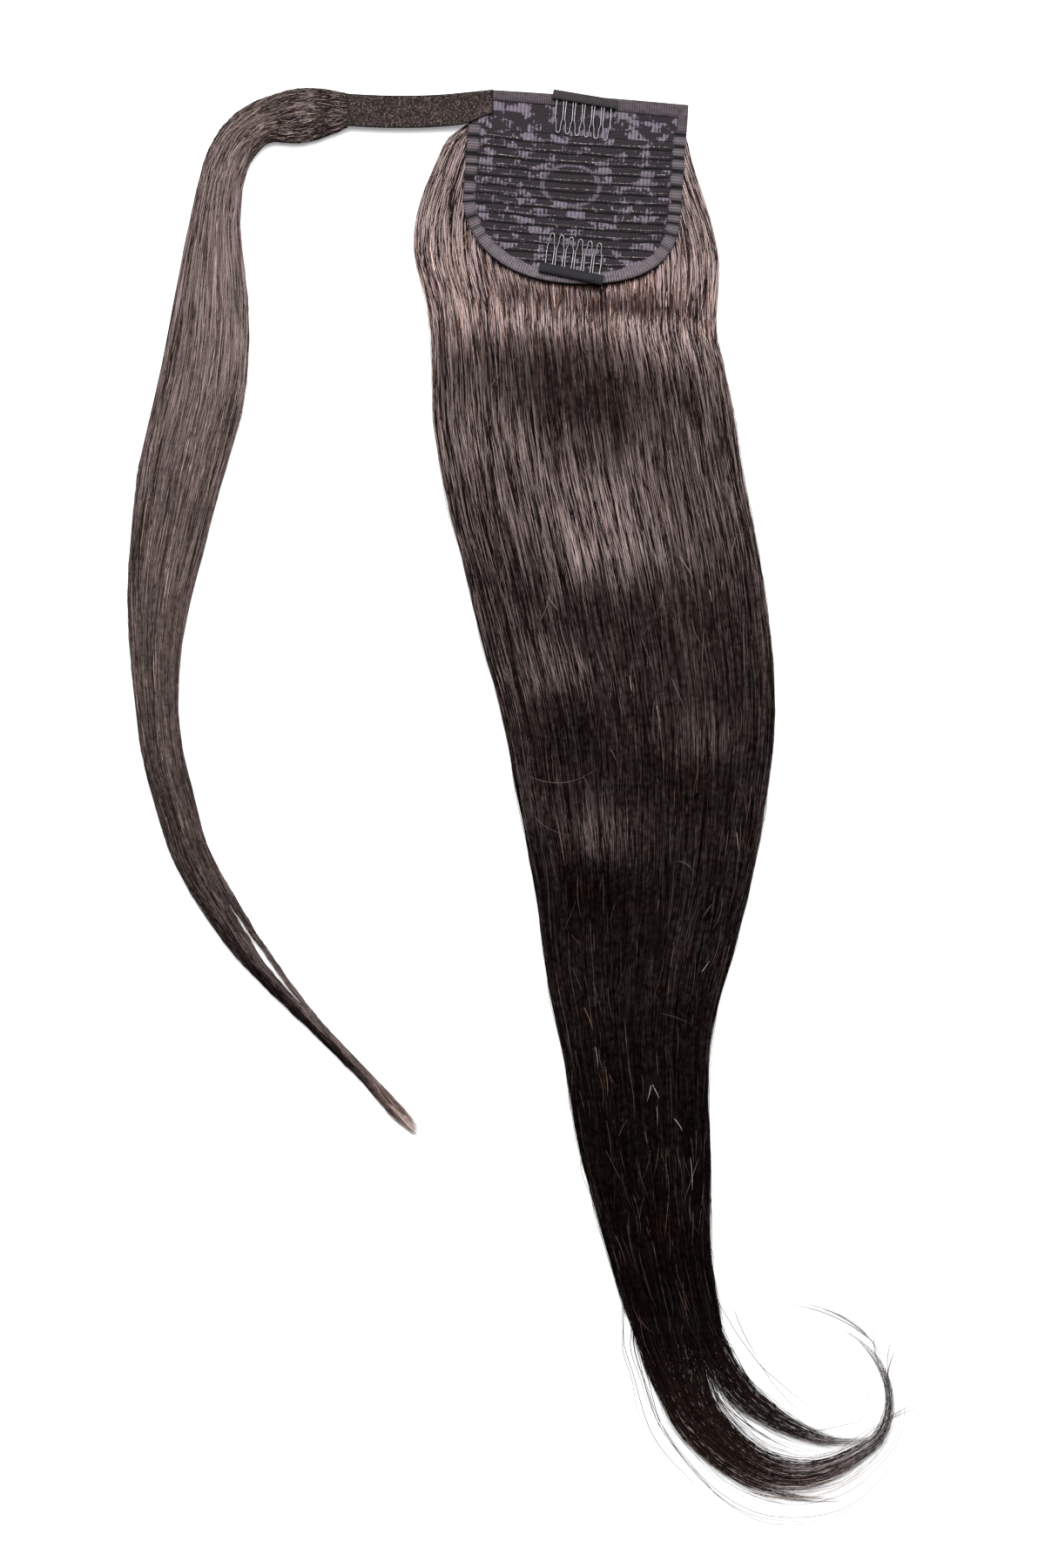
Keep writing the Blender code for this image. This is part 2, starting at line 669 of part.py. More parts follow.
def fuse(body, piece):
    """Joins a piece to the body, as one solid. The piece itself stays as a hidden helper."""
    join = body.modifiers.new("join_" + piece.name, "BOOLEAN")
    join.operation = "UNION"
    join.object = piece
    piece.hide_render = True
    piece.display_type = "WIRE"


def make_tail(finish):
    body = make_tail_body(finish)
    for name, rows in TIP_ROWS.items():
        fuse(body, make_tip_lock("tip_" + name, rows, finish))
    return body


def make_wrap(finish):
    """The lock sewn to the strap's end: it swells, turns down and tapers to a thin tip."""
    start_x, start_y = strap_middle(1.0)
    start_x -= GAP
    stations = []
    places = along_rows(WRAP_ROWS)
    for row in read_rows(WRAP_ROWS, places, steps_between(0.0, places[-1], WRAP_STATIONS)):
        left, down, inner, outer, height, lift = row
        place = (start_x - left * WRAP_BOW, start_y - down * WRAP_DROP)
        tall = height * WRAP_HEIGHT
        bottom = lift * (STRAP_END_HEIGHT - tall / 2)
        stations.append((*place, inner * WRAP_WIDTH, outer * WRAP_WIDTH, tall, bottom))

    def section(station):
        inner, outer, tall, bottom = station[2:]
        relief = WRAP_RELIEF * tall / WRAP_HEIGHT
        return hair_section(outer, inner, tall, bottom, WRAP_LOCKS, relief)

    return add_loft("wrap_hair", swept_rings(stations, section), finish)


def centre_on_table(objects):
    """Moves everything so that the origin is under the middle of the piece, on the table."""
    bpy.context.view_layer.update()
    corners = []
    for item in objects:
        corners += [item.matrix_world @ Vector(corner) for corner in item.bound_box]
    low = [min(corner[axis] for corner in corners) for axis in range(3)]
    high = [max(corner[axis] for corner in corners) for axis in range(3)]
    shift = Vector((-(low[0] + high[0]) / 2, -(low[1] + high[1]) / 2, -low[2]))
    for item in objects:
        item.location += shift


def main():
    clear_scene()
    lace = material("lace", (0.045, 0.040, 0.052), 0.85)
    tape = material("tape", (0.030, 0.029, 0.032), 0.80)
    strap = material("strap", (0.042, 0.034, 0.030), 0.95)
    steel = material("steel", (0.62, 0.61, 0.60), 0.30, 1.0)
    hair = material("hair", (0.030, 0.018, 0.014), 0.40)
    make_panel(lace)
    make_edge_tape(tape)
    make_top_tape(tape)
    make_strap(strap)
    for side, comb in (("top", TOP_COMB), ("bottom", BOTTOM_COMB)):
        make_sleeve(side + "_comb_sleeve", comb, tape)
        make_comb(side + "_comb_wire", comb, steel)
    make_tail(hair)
    make_wrap(hair)
    centre_on_table(list(bpy.data.objects))


main()
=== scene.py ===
"""Looks of the clip-in ponytail hairpiece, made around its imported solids.

The hair is laid strand by strand over dark cores. The cap is a fine sheet of ribbed lace with its
stitches, tapes, sleeves and bent wire combs, and the strap has a pile of small loops. The layout
repeats the numbers of the part's source, in metres, from the middle of the cap's top edge.
"""

import math

import bmesh
import bpy
import numpy as np
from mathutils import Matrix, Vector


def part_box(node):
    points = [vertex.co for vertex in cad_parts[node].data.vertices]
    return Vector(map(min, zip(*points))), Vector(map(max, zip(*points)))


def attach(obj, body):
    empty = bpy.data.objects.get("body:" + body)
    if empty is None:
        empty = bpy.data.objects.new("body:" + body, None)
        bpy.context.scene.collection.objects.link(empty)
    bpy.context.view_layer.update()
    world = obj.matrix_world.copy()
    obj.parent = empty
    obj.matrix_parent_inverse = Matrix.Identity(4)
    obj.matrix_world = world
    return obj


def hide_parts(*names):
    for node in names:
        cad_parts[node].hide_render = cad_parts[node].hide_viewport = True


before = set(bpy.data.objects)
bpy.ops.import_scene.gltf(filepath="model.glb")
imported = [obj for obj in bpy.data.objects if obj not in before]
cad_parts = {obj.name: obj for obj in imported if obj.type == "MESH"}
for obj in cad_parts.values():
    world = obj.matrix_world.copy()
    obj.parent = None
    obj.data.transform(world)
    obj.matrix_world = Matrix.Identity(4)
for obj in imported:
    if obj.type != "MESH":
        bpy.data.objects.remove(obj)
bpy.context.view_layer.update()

# Clearance between neighbouring pieces
GAP = 0.0003

# Cap: the lace panel and how it lies
CAP_WIDTH = 0.0936
CAP_DEPTH = 0.0812
CAP_TURN = math.radians(-4.3)
STRAIGHT_SIDE = 0.0448
LEFT_ROUNDNESS = 2.0
RIGHT_ROUNDNESS = 3.0
CORNER_ROUNDNESS = 2.2
PANEL_THICKNESS = 0.0010
BAND_DEPTH = 0.0165
RIB_PITCH = 0.0040
RIB_RELIEF = 0.0009
RIB_SAG = 0.0015
SEAT_AT_TOP = 0.0060
SEAT_AT_BOTTOM = 0.0112
CROWN = 0.0026

# Tape folded over the cap's edge
TAPE_WALL = 0.0010
EDGE_TAPE_WIDTH = 0.0054
EDGE_TAPE_PUFF = 0.0006
TOP_TAPE_WIDTH = 0.0046
TOP_TAPE_FLARE = 0.0016
TOP_TAPE_RETURN = 0.0120

# Hook-and-loop strap
STRAP_LENGTH = 0.0628
STRAP_WIDTH = 0.0138
STRAP_THICKNESS = 0.0016
STRAP_OVERLAP = 0.0100
STRAP_DIP = 0.0022
STRAP_EDGE = 0.0012
STRAP_END_HEIGHT = 0.0062
STRAP_TUCK = 0.0034
STRAP_TAPE_CLEARANCE = 0.0018

# Wire combs and the tape sleeves that hold them
COMB_TEETH = 6
TOOTH_PITCH = 0.0041
TOOTH_LENGTH = 0.0138
TOOTH_SPREAD = 0.0032
TOOTH_TIP = 0.0019
TOOTH_DIP = 0.0011
WIRE = 0.00055
SLEEVE_LENGTH = 0.0278
SLEEVE_WIDTH = 0.0040
SLEEVE_WALL = 0.0010
COMB_LEAN = math.radians(4.6)
COMBS = {
    "top": {"x": 0.0022, "depth": 0.0022, "turn": math.radians(-5.2)},
    "bottom": {"x": 0.0020, "depth": CAP_DEPTH - 0.0037, "turn": math.radians(172.3)},
}

# Tail of hair below the cap
TAIL_LENGTH = 0.5340
TAIL_WIDTH = 0.1305
TAIL_HEIGHT = 0.0160
TAIL_ROOT_DEPTH = 0.0095
CAP_SHADOW = 0.0035
CAP_CLEARANCE = 0.0005

# Locks at the tail's tip
TIP_REACH = 0.1000
TIP_WIDTH = 0.0390
TIP_HEIGHT = 0.0056
TIP_LIFT = 0.0003

# Lock of hair that wraps round the wearer's ponytail
WRAP_DROP = 0.4405
WRAP_BOW = 0.0825
WRAP_WIDTH = 0.0386
WRAP_HEIGHT = 0.0100

# Shape of a bundle of hair in section: how boxy its top is, how high its side turns under
# and how much of its width rests on the table
HAIR_CROWN = 2.6
HAIR_SHOULDER = 0.45
HAIR_TURN_UNDER = 0.26
HAIR_FOOT = 0.86

# The tail's sections. Along is a share of TAIL_LENGTH, sway and width are shares of TAIL_WIDTH,
# height is a share of TAIL_HEIGHT.
TAIL_ROWS = (
    # along, sway, width, height
    (0.000, -0.018, 0.690, 0.34),
    (0.014, -0.042, 0.790, 0.42),
    (0.028, -0.052, 0.833, 0.50),
    (0.056, -0.057, 0.911, 0.62),
    (0.084, -0.052, 0.977, 0.72),
    (0.112, -0.041, 1.000, 0.76),
    (0.144, -0.026, 0.960, 0.80),
    (0.172, -0.022, 0.940, 0.95),
    (0.193, -0.008, 0.958, 1.00),
    (0.242, 0.014, 0.989, 0.84),
    (0.284, 0.041, 0.991, 0.84),
    (0.326, 0.078, 0.997, 0.89),
    (0.368, 0.116, 0.980, 0.92),
    (0.411, 0.147, 0.957, 0.84),
    (0.453, 0.178, 0.925, 0.74),
    (0.495, 0.198, 0.885, 0.69),
    (0.537, 0.204, 0.836, 0.70),
    (0.579, 0.208, 0.773, 0.71),
    (0.621, 0.206, 0.707, 0.66),
    (0.663, 0.194, 0.638, 0.60),
    (0.705, 0.183, 0.563, 0.56),
    (0.747, 0.186, 0.489, 0.53),
    (0.789, 0.199, 0.451, 0.50),
    (0.832, 0.215, 0.431, 0.47),
    (0.874, 0.239, 0.382, 0.44),
    (0.916, 0.265, 0.336, 0.41),
    (0.958, 0.305, 0.315, 0.38),
    (0.985, 0.338, 0.270, 0.28),
    (1.000, 0.349, 0.170, 0.12),
)

# The tip's locks. Right and down are shares of TIP_REACH from the end of the tail's body,
# width is a share of TIP_WIDTH and height of TIP_HEIGHT.
TIP_ROWS = {
    "main": (
        # right, down, width, height
        (-0.190, -0.60, 0.45, 0.60),
        (-0.146, -0.38, 0.70, 0.80),
        (-0.070, -0.15, 0.78, 0.95),
        (-0.020, 0.02, 0.62, 1.00),
        (0.045, 0.19, 0.50, 1.00),
        (0.130, 0.30, 0.42, 0.95),
        (0.247, 0.40, 0.38, 0.90),
        (0.365, 0.46, 0.34, 0.85),
        (0.500, 0.48, 0.28, 0.75),
        (0.635, 0.45, 0.23, 0.65),
        (0.750, 0.39, 0.17, 0.55),
        (0.830, 0.33, 0.12, 0.48),
        (0.868, 0.25, 0.10, 0.42),
        (0.880, 0.16, 0.08, 0.36),
        (0.868, 0.08, 0.07, 0.32),
        (0.835, 0.00, 0.06, 0.28),
        (0.790, -0.06, 0.05, 0.24),
        (0.720, -0.12, 0.04, 0.20),
        (0.620, -0.17, 0.03, 0.15),
    ),
    "inner": (
        (-0.02, -0.60, 0.30, 0.60),
        (0.02, -0.38, 0.36, 0.75),
        (0.07, -0.16, 0.40, 0.80),
        (0.14, -0.01, 0.36, 0.80),
        (0.24, 0.13, 0.29, 0.72),
        (0.34, 0.21, 0.23, 0.62),
        (0.45, 0.28, 0.17, 0.50),
        (0.58, 0.33, 0.12, 0.40),
        (0.71, 0.34, 0.08, 0.32),
        (0.81, 0.325, 0.05, 0.24),
    ),
    "outer": (
        (-0.25, -0.42, 0.18, 0.45),
        (-0.20, -0.16, 0.18, 0.50),
        (-0.155, 0.00, 0.14, 0.50),
        (-0.09, 0.15, 0.12, 0.45),
        (-0.02, 0.28, 0.11, 0.40),
        (0.09, 0.40, 0.10, 0.34),
        (0.24, 0.50, 0.09, 0.28),
        (0.39, 0.56, 0.08, 0.24),
        (0.51, 0.585, 0.06, 0.20),
        (0.67, 0.59, 0.03, 0.15),
    ),
}

# The wrapping lock's sections. Left is a share of WRAP_BOW and down of WRAP_DROP, both from the
# strap's end. Inner and outer are half widths, as shares of WRAP_WIDTH, on the two sides of the
# bend. Height is a share of WRAP_HEIGHT, and lift a share of the height at which the strap ends.
WRAP_ROWS = (
    # left, down, inner, outer, height, lift
    (0.000, 0.0000, 0.190, 0.185, 0.55, 1.00),
    (0.060, 0.0000, 0.255, 0.225, 0.85, 0.60),
    (0.155, 0.0010, 0.315, 0.260, 1.15, 0.15),
    (0.270, 0.0040, 0.325, 0.280, 1.20, 0.00),
    (0.360, 0.0085, 0.285, 0.275, 1.12, 0.00),
    (0.435, 0.0140, 0.215, 0.275, 1.05, 0.00),
    (0.535, 0.0270, 0.225, 0.270, 1.00, 0.00),
    (0.615, 0.0500, 0.235, 0.265, 0.96, 0.00),
    (0.665, 0.0810, 0.245, 0.255, 0.92, 0.00),
    (0.693, 0.1200, 0.295, 0.290, 0.86, 0.00),
    (0.700, 0.1580, 0.375, 0.370, 0.84, 0.00),
    (0.707, 0.2000, 0.440, 0.440, 0.84, 0.00),
    (0.730, 0.2430, 0.480, 0.480, 0.84, 0.00),
    (0.770, 0.2850, 0.500, 0.500, 0.84, 0.00),
    (0.828, 0.3280, 0.490, 0.490, 0.84, 0.00),
    (0.883, 0.3700, 0.465, 0.465, 0.82, 0.00),
    (0.930, 0.4210, 0.417, 0.417, 0.80, 0.00),
    (0.965, 0.4550, 0.374, 0.374, 0.80, 0.00),
    (0.990, 0.4970, 0.325, 0.325, 0.78, 0.00),
    (1.000, 0.5400, 0.272, 0.272, 0.76, 0.00),
    (0.987, 0.5820, 0.240, 0.240, 0.74, 0.00),
    (0.960, 0.6250, 0.232, 0.232, 0.71, 0.00),
    (0.905, 0.6670, 0.223, 0.223, 0.68, 0.00),
    (0.842, 0.7100, 0.215, 0.215, 0.63, 0.00),
    (0.763, 0.7440, 0.203, 0.203, 0.58, 0.00),
    (0.655, 0.7780, 0.175, 0.175, 0.53, 0.00),
    (0.537, 0.8120, 0.140, 0.150, 0.48, 0.00),
    (0.391, 0.8460, 0.095, 0.100, 0.42, 0.00),
    (0.227, 0.8800, 0.080, 0.080, 0.36, 0.00),
    (0.050, 0.9140, 0.072, 0.072, 0.31, 0.00),
    (-0.127, 0.9480, 0.068, 0.068, 0.27, 0.00),
    (-0.291, 0.9820, 0.066, 0.066, 0.20, 0.00),
    (-0.377, 1.0000, 0.022, 0.022, 0.10, 0.00),
)

TAPE_THICKNESS = PANEL_THICKNESS + 2 * GAP + 2 * TAPE_WALL
PANEL_INSET = TAPE_WALL + GAP
SLEEVE_THICKNESS = WIRE + 2 * GAP + 2 * SLEEVE_WALL

# Hair strands: how many, how long and thick, how they turn, and how high they lie at least
TAIL_STRANDS = 4600
TAIL_STEPS = 40
TIP_STEPS = 46
WRAP_STRANDS = 2000
WRAP_STEPS = 36
STRAND_WIDTH = 0.00027
WIDTH_FACTORS = (0.65, 1.25)
STRAND_ROLL = math.radians(30)
CLUMP_ROLL = math.radians(10)
STRAND_LAYER = 0.0009
CORE_DEPTH = 0.0010
STEEPEST = 0.20
LOWEST_HAIR = 0.0004

# Seeds of the random draws
SEEDS = {
    "tail": 11, "tip": 23, "wrap": 37, "panel": 41, "stitches": 43, "edge tape": 47, "strap": 53,
    "loose hairs": 61,
}


# Layout, repeated from the part's source


def smooth_step(share):
    share = np.clip(share, 0.0, 1.0)
    return share * share * (3 - 2 * share)


def cap_point(x, depth):
    """A place on the cap, seen from above, in the layout's frame."""
    cos, sin = math.cos(CAP_TURN), math.sin(CAP_TURN)
    return cos * x + sin * depth, sin * x - cos * depth


def on_cap(x, y):
    """Where a point of the layout lies on the cap: x and depth."""
    cos, sin = math.cos(CAP_TURN), math.sin(CAP_TURN)
    return cos * x + sin * y, sin * x - cos * y


def panel_height(x, depth):
    """Height of the middle of the panel's thickness. The panel leans and is crowned across."""
    seat = SEAT_AT_TOP + (SEAT_AT_BOTTOM - SEAT_AT_TOP) * depth / CAP_DEPTH
    return seat + CROWN * (1 - (2 * x / CAP_WIDTH) ** 2)


def raised(x, depth, up):
    """Points at a height over the middle of the panel's thickness."""
    across, along = cap_point(x, depth)
    return np.stack(np.broadcast_arrays(across, along, panel_height(x, depth) + up), axis=-1)


def half_width(depth, roundness, inset):
    """Half the cap's width at a depth, with its lower corners rounded off."""
    share = (depth - STRAIGHT_SIDE) / (CAP_DEPTH - STRAIGHT_SIDE - inset)
    corner = 1 - np.clip(share, 0.0, 1.0) ** roundness
    return (CAP_WIDTH / 2 - inset) * corner ** (1 / CORNER_ROUNDNESS)


def along_rows(rows):
    """How far along their path the rows of a table lie. Their first two values are places."""
    steps = np.diff(np.array(rows)[:, :2], axis=0)
    return np.concatenate([[0.0], np.cumsum(np.hypot(steps[:, 0], steps[:, 1]))])


def read_rows(rows, places, wanted):
    """Rows of a table at the wanted places, along a smooth curve through them."""
    rows, places, wanted = np.array(rows), np.array(places), np.asarray(wanted, float)
    last = len(rows) - 1
    i = np.clip(np.searchsorted(places, wanted, side="right") - 1, 0, last - 1)
    share = ((wanted - places[i]) / (places[i + 1] - places[i]))[..., None]
    before, start = rows[np.maximum(i - 1, 0)], rows[i]
    end, after = rows[i + 1], rows[np.minimum(i + 2, last)]
    bend = 2 * start - 2 * end + (end - before) / 2 + (after - start) / 2
    swing = 3 * (end - start) - (end - before) - (after - start) / 2
    return ((bend * share + swing) * share + (end - before) / 2) * share + start


def read_shares(rows, share):
    """Rows of a table whose first values are shares from 0 to 1, at the wanted shares."""
    return read_rows(rows, [row[0] for row in rows], np.clip(share, 0.0, 1.0))


def read_way(rows, places, place, step, scale):
    """Which way the rows of a table run at a place, seen from above."""
    ahead = read_rows(rows, places, np.clip(place + step, 0.0, places[-1]))
    behind = read_rows(rows, places, np.clip(place - step, 0.0, places[-1]))
    return unit((ahead - behind)[..., :2] * scale)


STRAP_START = cap_point(STRAP_OVERLAP - CAP_WIDTH / 2, STRAP_WIDTH / 2)
ROOT_Y = cap_point(0.0, TAIL_ROOT_DEPTH)[1]
TAIL_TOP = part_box("tail_hair")[1].y
STRAP_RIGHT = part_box("wrap_strap")[1].x
SHIFT = np.array([STRAP_RIGHT - STRAP_START[0], TAIL_TOP - ROOT_Y, 0.0])


# Meshes


def finish_piece(piece, nodes, finish):
    bpy.context.scene.collection.objects.link(piece)
    piece.data.materials.append(finish)
    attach(piece, "root")
    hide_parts(*nodes)
    return piece


def keep_places(data, places):
    """Keeps a place on each point of a mesh, for its material."""
    if places is not None:
        kept = data.attributes.new("place", "FLOAT_VECTOR", "POINT")
        kept.data.foreach_set("vector", places.reshape(-1).astype(np.float32))


def add_sheet(name, points, faces, tones, nodes, finish):
    """A smooth piece from points of the layout, with a tone kept on each of them."""
    data = bpy.data.meshes.new(name)
    world = points.reshape(-1, 3) + SHIFT
    data.from_pydata(world.tolist(), [], faces.tolist())
    data.shade_smooth()
    kept = data.color_attributes.new("tone", "FLOAT_COLOR", "POINT")
    colours = np.concatenate([tones, np.ones((len(tones), 1))], axis=1)
    kept.data.foreach_set("color", colours.reshape(-1).astype(np.float32))
    return finish_piece(bpy.data.objects.new(name, data), nodes, finish)


def grid_faces(rows, columns, closed=False):
    """Faces between rows of points, each row closed to a ring or left open."""
    across = columns if closed else columns - 1
    row, column = np.meshgrid(np.arange(rows - 1), np.arange(across), indexing="ij")
    near, far = row * columns, (row + 1) * columns
    next_column = (column + 1) % columns
    corners = (near + column, near + next_column, far + next_column, far + column)
    return np.stack(corners, axis=-1).reshape(-1, 4)


def add_solid(name, rings, nodes, finish, places=None, crease=180.0):
    """A closed body through rings of points, with flat ends."""
    rows, columns = rings.shape[:2]
    mesh = bmesh.new()
    world = rings.reshape(-1, 3) + SHIFT
    corners = [mesh.verts.new(point) for point in world.tolist()]
    for face in grid_faces(rows, columns, closed=True).tolist():
        mesh.faces.new([corners[i] for i in face])
    mesh.faces.new(corners[:columns])
    mesh.faces.new(corners[-columns:])
    bmesh.ops.recalc_face_normals(mesh, faces=mesh.faces)
    data = bpy.data.meshes.new(name)
    mesh.to_mesh(data)
    mesh.free()
    data.shade_smooth()
    data.set_sharp_from_angle(angle=math.radians(crease))
    keep_places(data, places)
    return finish_piece(bpy.data.objects.new(name, data), nodes, finish)


def unit(vectors):
    return vectors / np.maximum(np.linalg.norm(vectors, axis=-1, keepdims=True), 1e-12)


def path_frames(paths):
    """Sideways and upward directions along paths of points, the first of them level."""
    along = unit(np.gradient(paths, axis=-2))
    side = unit(np.cross(along, (0.0, 0.0, 1.0)))
    return side, np.cross(side, along)


def tube(path, radius, sides):
    """Rings of points round a path."""
    side, up = path_frames(path)
    angles = 2 * np.pi * np.arange(sides) / sides
    cos, sin = np.cos(angles)[:, None], np.sin(angles)[:, None]
    return path[:, None] + (side[:, None] * cos + up[:, None] * sin) * radius


def many_grids(count, rows, columns):
    """The faces of many equal grids, one after another."""
    one = grid_faces(rows, columns)
    return (one[None] + (np.arange(count) * rows * columns)[:, None, None]).reshape(-1, 4)


# Where a strand's two sides lie in its row of the map
MAP_ROW = (0.2, 0.8)


def add_strands(name, paths, across, widths, rolls, tones, slot, nodes, finish):
    """Thin flat strands that lie across a direction, each turned a little about its own length.

    Their map has one row for each strand.
    """
    count, steps = paths.shape[:2]
    along = unit(np.gradient(paths, axis=1))
    across = unit(across - along * np.sum(along * across, axis=-1, keepdims=True))
    out = np.cross(across, along)
    rolls = rolls[..., None] if rolls.ndim == 2 else rolls[:, None, None]
    cos, sin = np.cos(rolls), np.sin(rolls)
    half = (across * cos + out * sin) * widths[..., None] / 2
    points = np.stack([paths - half, paths + half], axis=2)
    faces = many_grids(count, steps, 2)
    tones = np.broadcast_to(tones if tones.ndim == 3 else tones[:, None], (count, steps, 3))
    colours = np.repeat(tones.reshape(-1, 3), 2, axis=0)
    piece = add_sheet(name, points, faces, colours, nodes, finish)
    share = np.tile(np.repeat(np.arange(steps) / (steps - 1), 2), count)
    row = (np.arange(count)[:, None] + np.tile(MAP_ROW, steps)[None]) / count
    flat = np.stack([share, row.reshape(-1)], axis=-1)[faces.reshape(-1)]
    layer = piece.data.uv_layers.new(name="OFBake")
    layer.data.foreach_set("uv", flat.reshape(-1).astype(np.float32))


# Hair


def hair_top(side):
    """How high the top of a bundle of hair is at a side from -1 to 1, as a share of its height."""
    top = (1 - np.clip(np.abs(side), 0.0, 1.0) ** HAIR_CROWN) ** HAIR_SHOULDER
    return HAIR_TURN_UNDER + (1 - HAIR_TURN_UNDER) * top


def under_cap(x, y, z):
    """The height of the hair's surface, kept below the tape and the panel where the cap lies."""
    across, depth = on_cap(x, y)
    ceiling = panel_height(across, depth) - (TAPE_THICKNESS / 2 + CAP_CLEARANCE)
    clear = smooth_step((depth - CAP_DEPTH - CAP_SHADOW) / (TAIL_LENGTH * 0.03))
    return np.minimum(z, ceiling + TAIL_HEIGHT * clear)


# Long soft waves in the tail's hair that catch the light, as heights over its surface in metres
# at its left side, its middle and its right side
SHEEN_ROWS = (
    # along, left, middle, right
    (0.000, 0.0000, 0.0000, 0.0000),
    (0.118, -0.0002, -0.0008, 0.0000),
    (0.140, 0.0004, 0.0000, 0.0004),
    (0.152, 0.0004, 0.0006, 0.0005),
    (0.168, -0.0005, 0.0003, 0.0004),
    (0.190, -0.0021, -0.0017, 0.0001),
    (0.211, -0.0022, -0.0019, 0.0008),
    (0.242, -0.0009, -0.0020, 0.0014),
    (0.284, -0.0007, -0.0030, 0.0006),
    (0.326, -0.0020, -0.0032, -0.0008),
    (0.368, -0.0033, -0.0026, -0.0017),
    (0.411, -0.0030, -0.0022, -0.0016),
    (0.453, -0.0018, -0.0014, -0.0008),
    (0.495, -0.0012, -0.0010, -0.0008),
    (0.540, -0.0018, -0.0018, -0.0016),
    (0.600, -0.0018, -0.0018, -0.0018),
    (0.720, -0.0005, -0.0005, -0.0005),
    (0.800, 0.0000, 0.0000, 0.0000),
    (1.000, 0.0000, 0.0000, 0.0000),
)
SHEEN_LUMPS = (
    # along, side, reach along, reach across, height
    (0.464, -0.55, 0.016, 0.25, 0.0010),
    (0.600, -0.38, 0.017, 0.22, 0.0019),
    (0.520, 0.42, 0.016, 0.22, 0.0012),
)
# The side from which on a row's left or right value holds alone
SHEEN_SIDE = 0.8


def sheen_height(along, side):
    rows = read_shares(SHEEN_ROWS, along)
    to_side = smooth_step(np.abs(side) / SHEEN_SIDE)
    beside = np.where(side < 0, rows[..., 1], rows[..., 3])
    lift = rows[..., 2] * (1 - to_side) + beside * to_side
    for place, middle, reach, wide, height in SHEEN_LUMPS:
        far = ((along - place) / reach) ** 2 + ((side - middle) / wide) ** 2
        lift = lift + height * np.exp(-far / 2)
    return lift * hair_top(side)


def tail_surface(along, side):
    """Points on top of the tail's bundle."""
    rows = read_shares(TAIL_ROWS, along)
    sway, width, height = rows[..., 1], rows[..., 2], rows[..., 3]
    x = sway * TAIL_WIDTH + side * width * TAIL_WIDTH / 2
    y = ROOT_Y - along * TAIL_LENGTH
    z = under_cap(x, y, height * TAIL_HEIGHT * hair_top(side) + sheen_height(along, side))
    return np.stack(np.broadcast_arrays(x, y, z), axis=-1)


TIP_PLACES = {name: along_rows(rows) for name, rows in TIP_ROWS.items()}
TAIL_END = (TAIL_ROWS[-1][1] * TAIL_WIDTH, ROOT_Y - TAIL_LENGTH)


def tip_surface(name, place, side, rise):
    """Points in one of the tip's locks, at a side and a rise from -1 to 1 over its section."""
    rows, places = TIP_ROWS[name], TIP_PLACES[name]
    place = np.clip(place, 0.0, places[-1])
    here = read_rows(rows, places, place)
    along = read_way(rows, places, place, 0.01, (1, -1))
    reach = side * here[..., 2] * TIP_WIDTH / 2
    x = TAIL_END[0] + here[..., 0] * TIP_REACH - along[..., 1] * reach
    y = TAIL_END[1] - here[..., 1] * TIP_REACH + along[..., 0] * reach
    z = TIP_LIFT + here[..., 3] * TIP_HEIGHT * (1 + rise) / 2
    return np.stack([x, y, z], axis=-1)


WRAP_PLACES = along_rows(WRAP_ROWS)
WRAP_START = (
    STRAP_START[0] - STRAP_LENGTH - GAP,
    STRAP_START[1] - STRAP_DIP * math.sin(0.8 * math.pi),
)


def wrap_bottom(row):
    """Height of the wrapping lock's underside. It lies on the table but for its root."""
    return row[..., 5] * (STRAP_END_HEIGHT - row[..., 4] * WRAP_HEIGHT / 2)


def wrap_surface(place, side):
    """Points on top of the wrapping lock, at a side from -1 to 1 over its section."""
    place = np.clip(place, 0.0, WRAP_PLACES[-1])
    here = read_rows(WRAP_ROWS, WRAP_PLACES, place)
    along = read_way(WRAP_ROWS, WRAP_PLACES, place, 0.004, (-WRAP_BOW, -WRAP_DROP))
    reach = side * np.where(side > 0, here[..., 2], here[..., 3]) * WRAP_WIDTH
    x = WRAP_START[0] - here[..., 0] * WRAP_BOW - along[..., 1] * reach
    y = WRAP_START[1] - here[..., 1] * WRAP_DROP + along[..., 0] * reach
    z = wrap_bottom(here) + here[..., 4] * WRAP_HEIGHT * hair_top(side)
    return np.stack([x, y, z], axis=-1)


# A strand's wander is two waves, with shares of the size and length it is given. How far the
# length and size of a single wave may stray from them, as factors.
WAVE_SHARES = (1.0, 0.43)
WAVE_LENGTHS = (0.7, 1.4)
WAVE_SIZES = (0.3, 1.3)


def waves(random, owners, places, size, length):
    """A gentle wander for each owner along its way, as two waves of its own."""
    count = owners.max() + 1
    total = 0.0
    for share in WAVE_SHARES:
        phase = random.uniform(0, 2 * np.pi, count)[owners, None]
        long = (length * share * random.uniform(*WAVE_LENGTHS, count))[owners, None]
        tall = (size * share * random.uniform(*WAVE_SIZES, count))[owners, None]
        total = total + tall * np.sin(2 * np.pi * places / long + phase)
    return total


def wander(random, owners, places, rows):
    """The strands' wander with all their owners, by a row of size and length for each owner."""
    found = [waves(random, owner, places, *row) for owner, row in zip(owners, rows)]
    return sum(found)


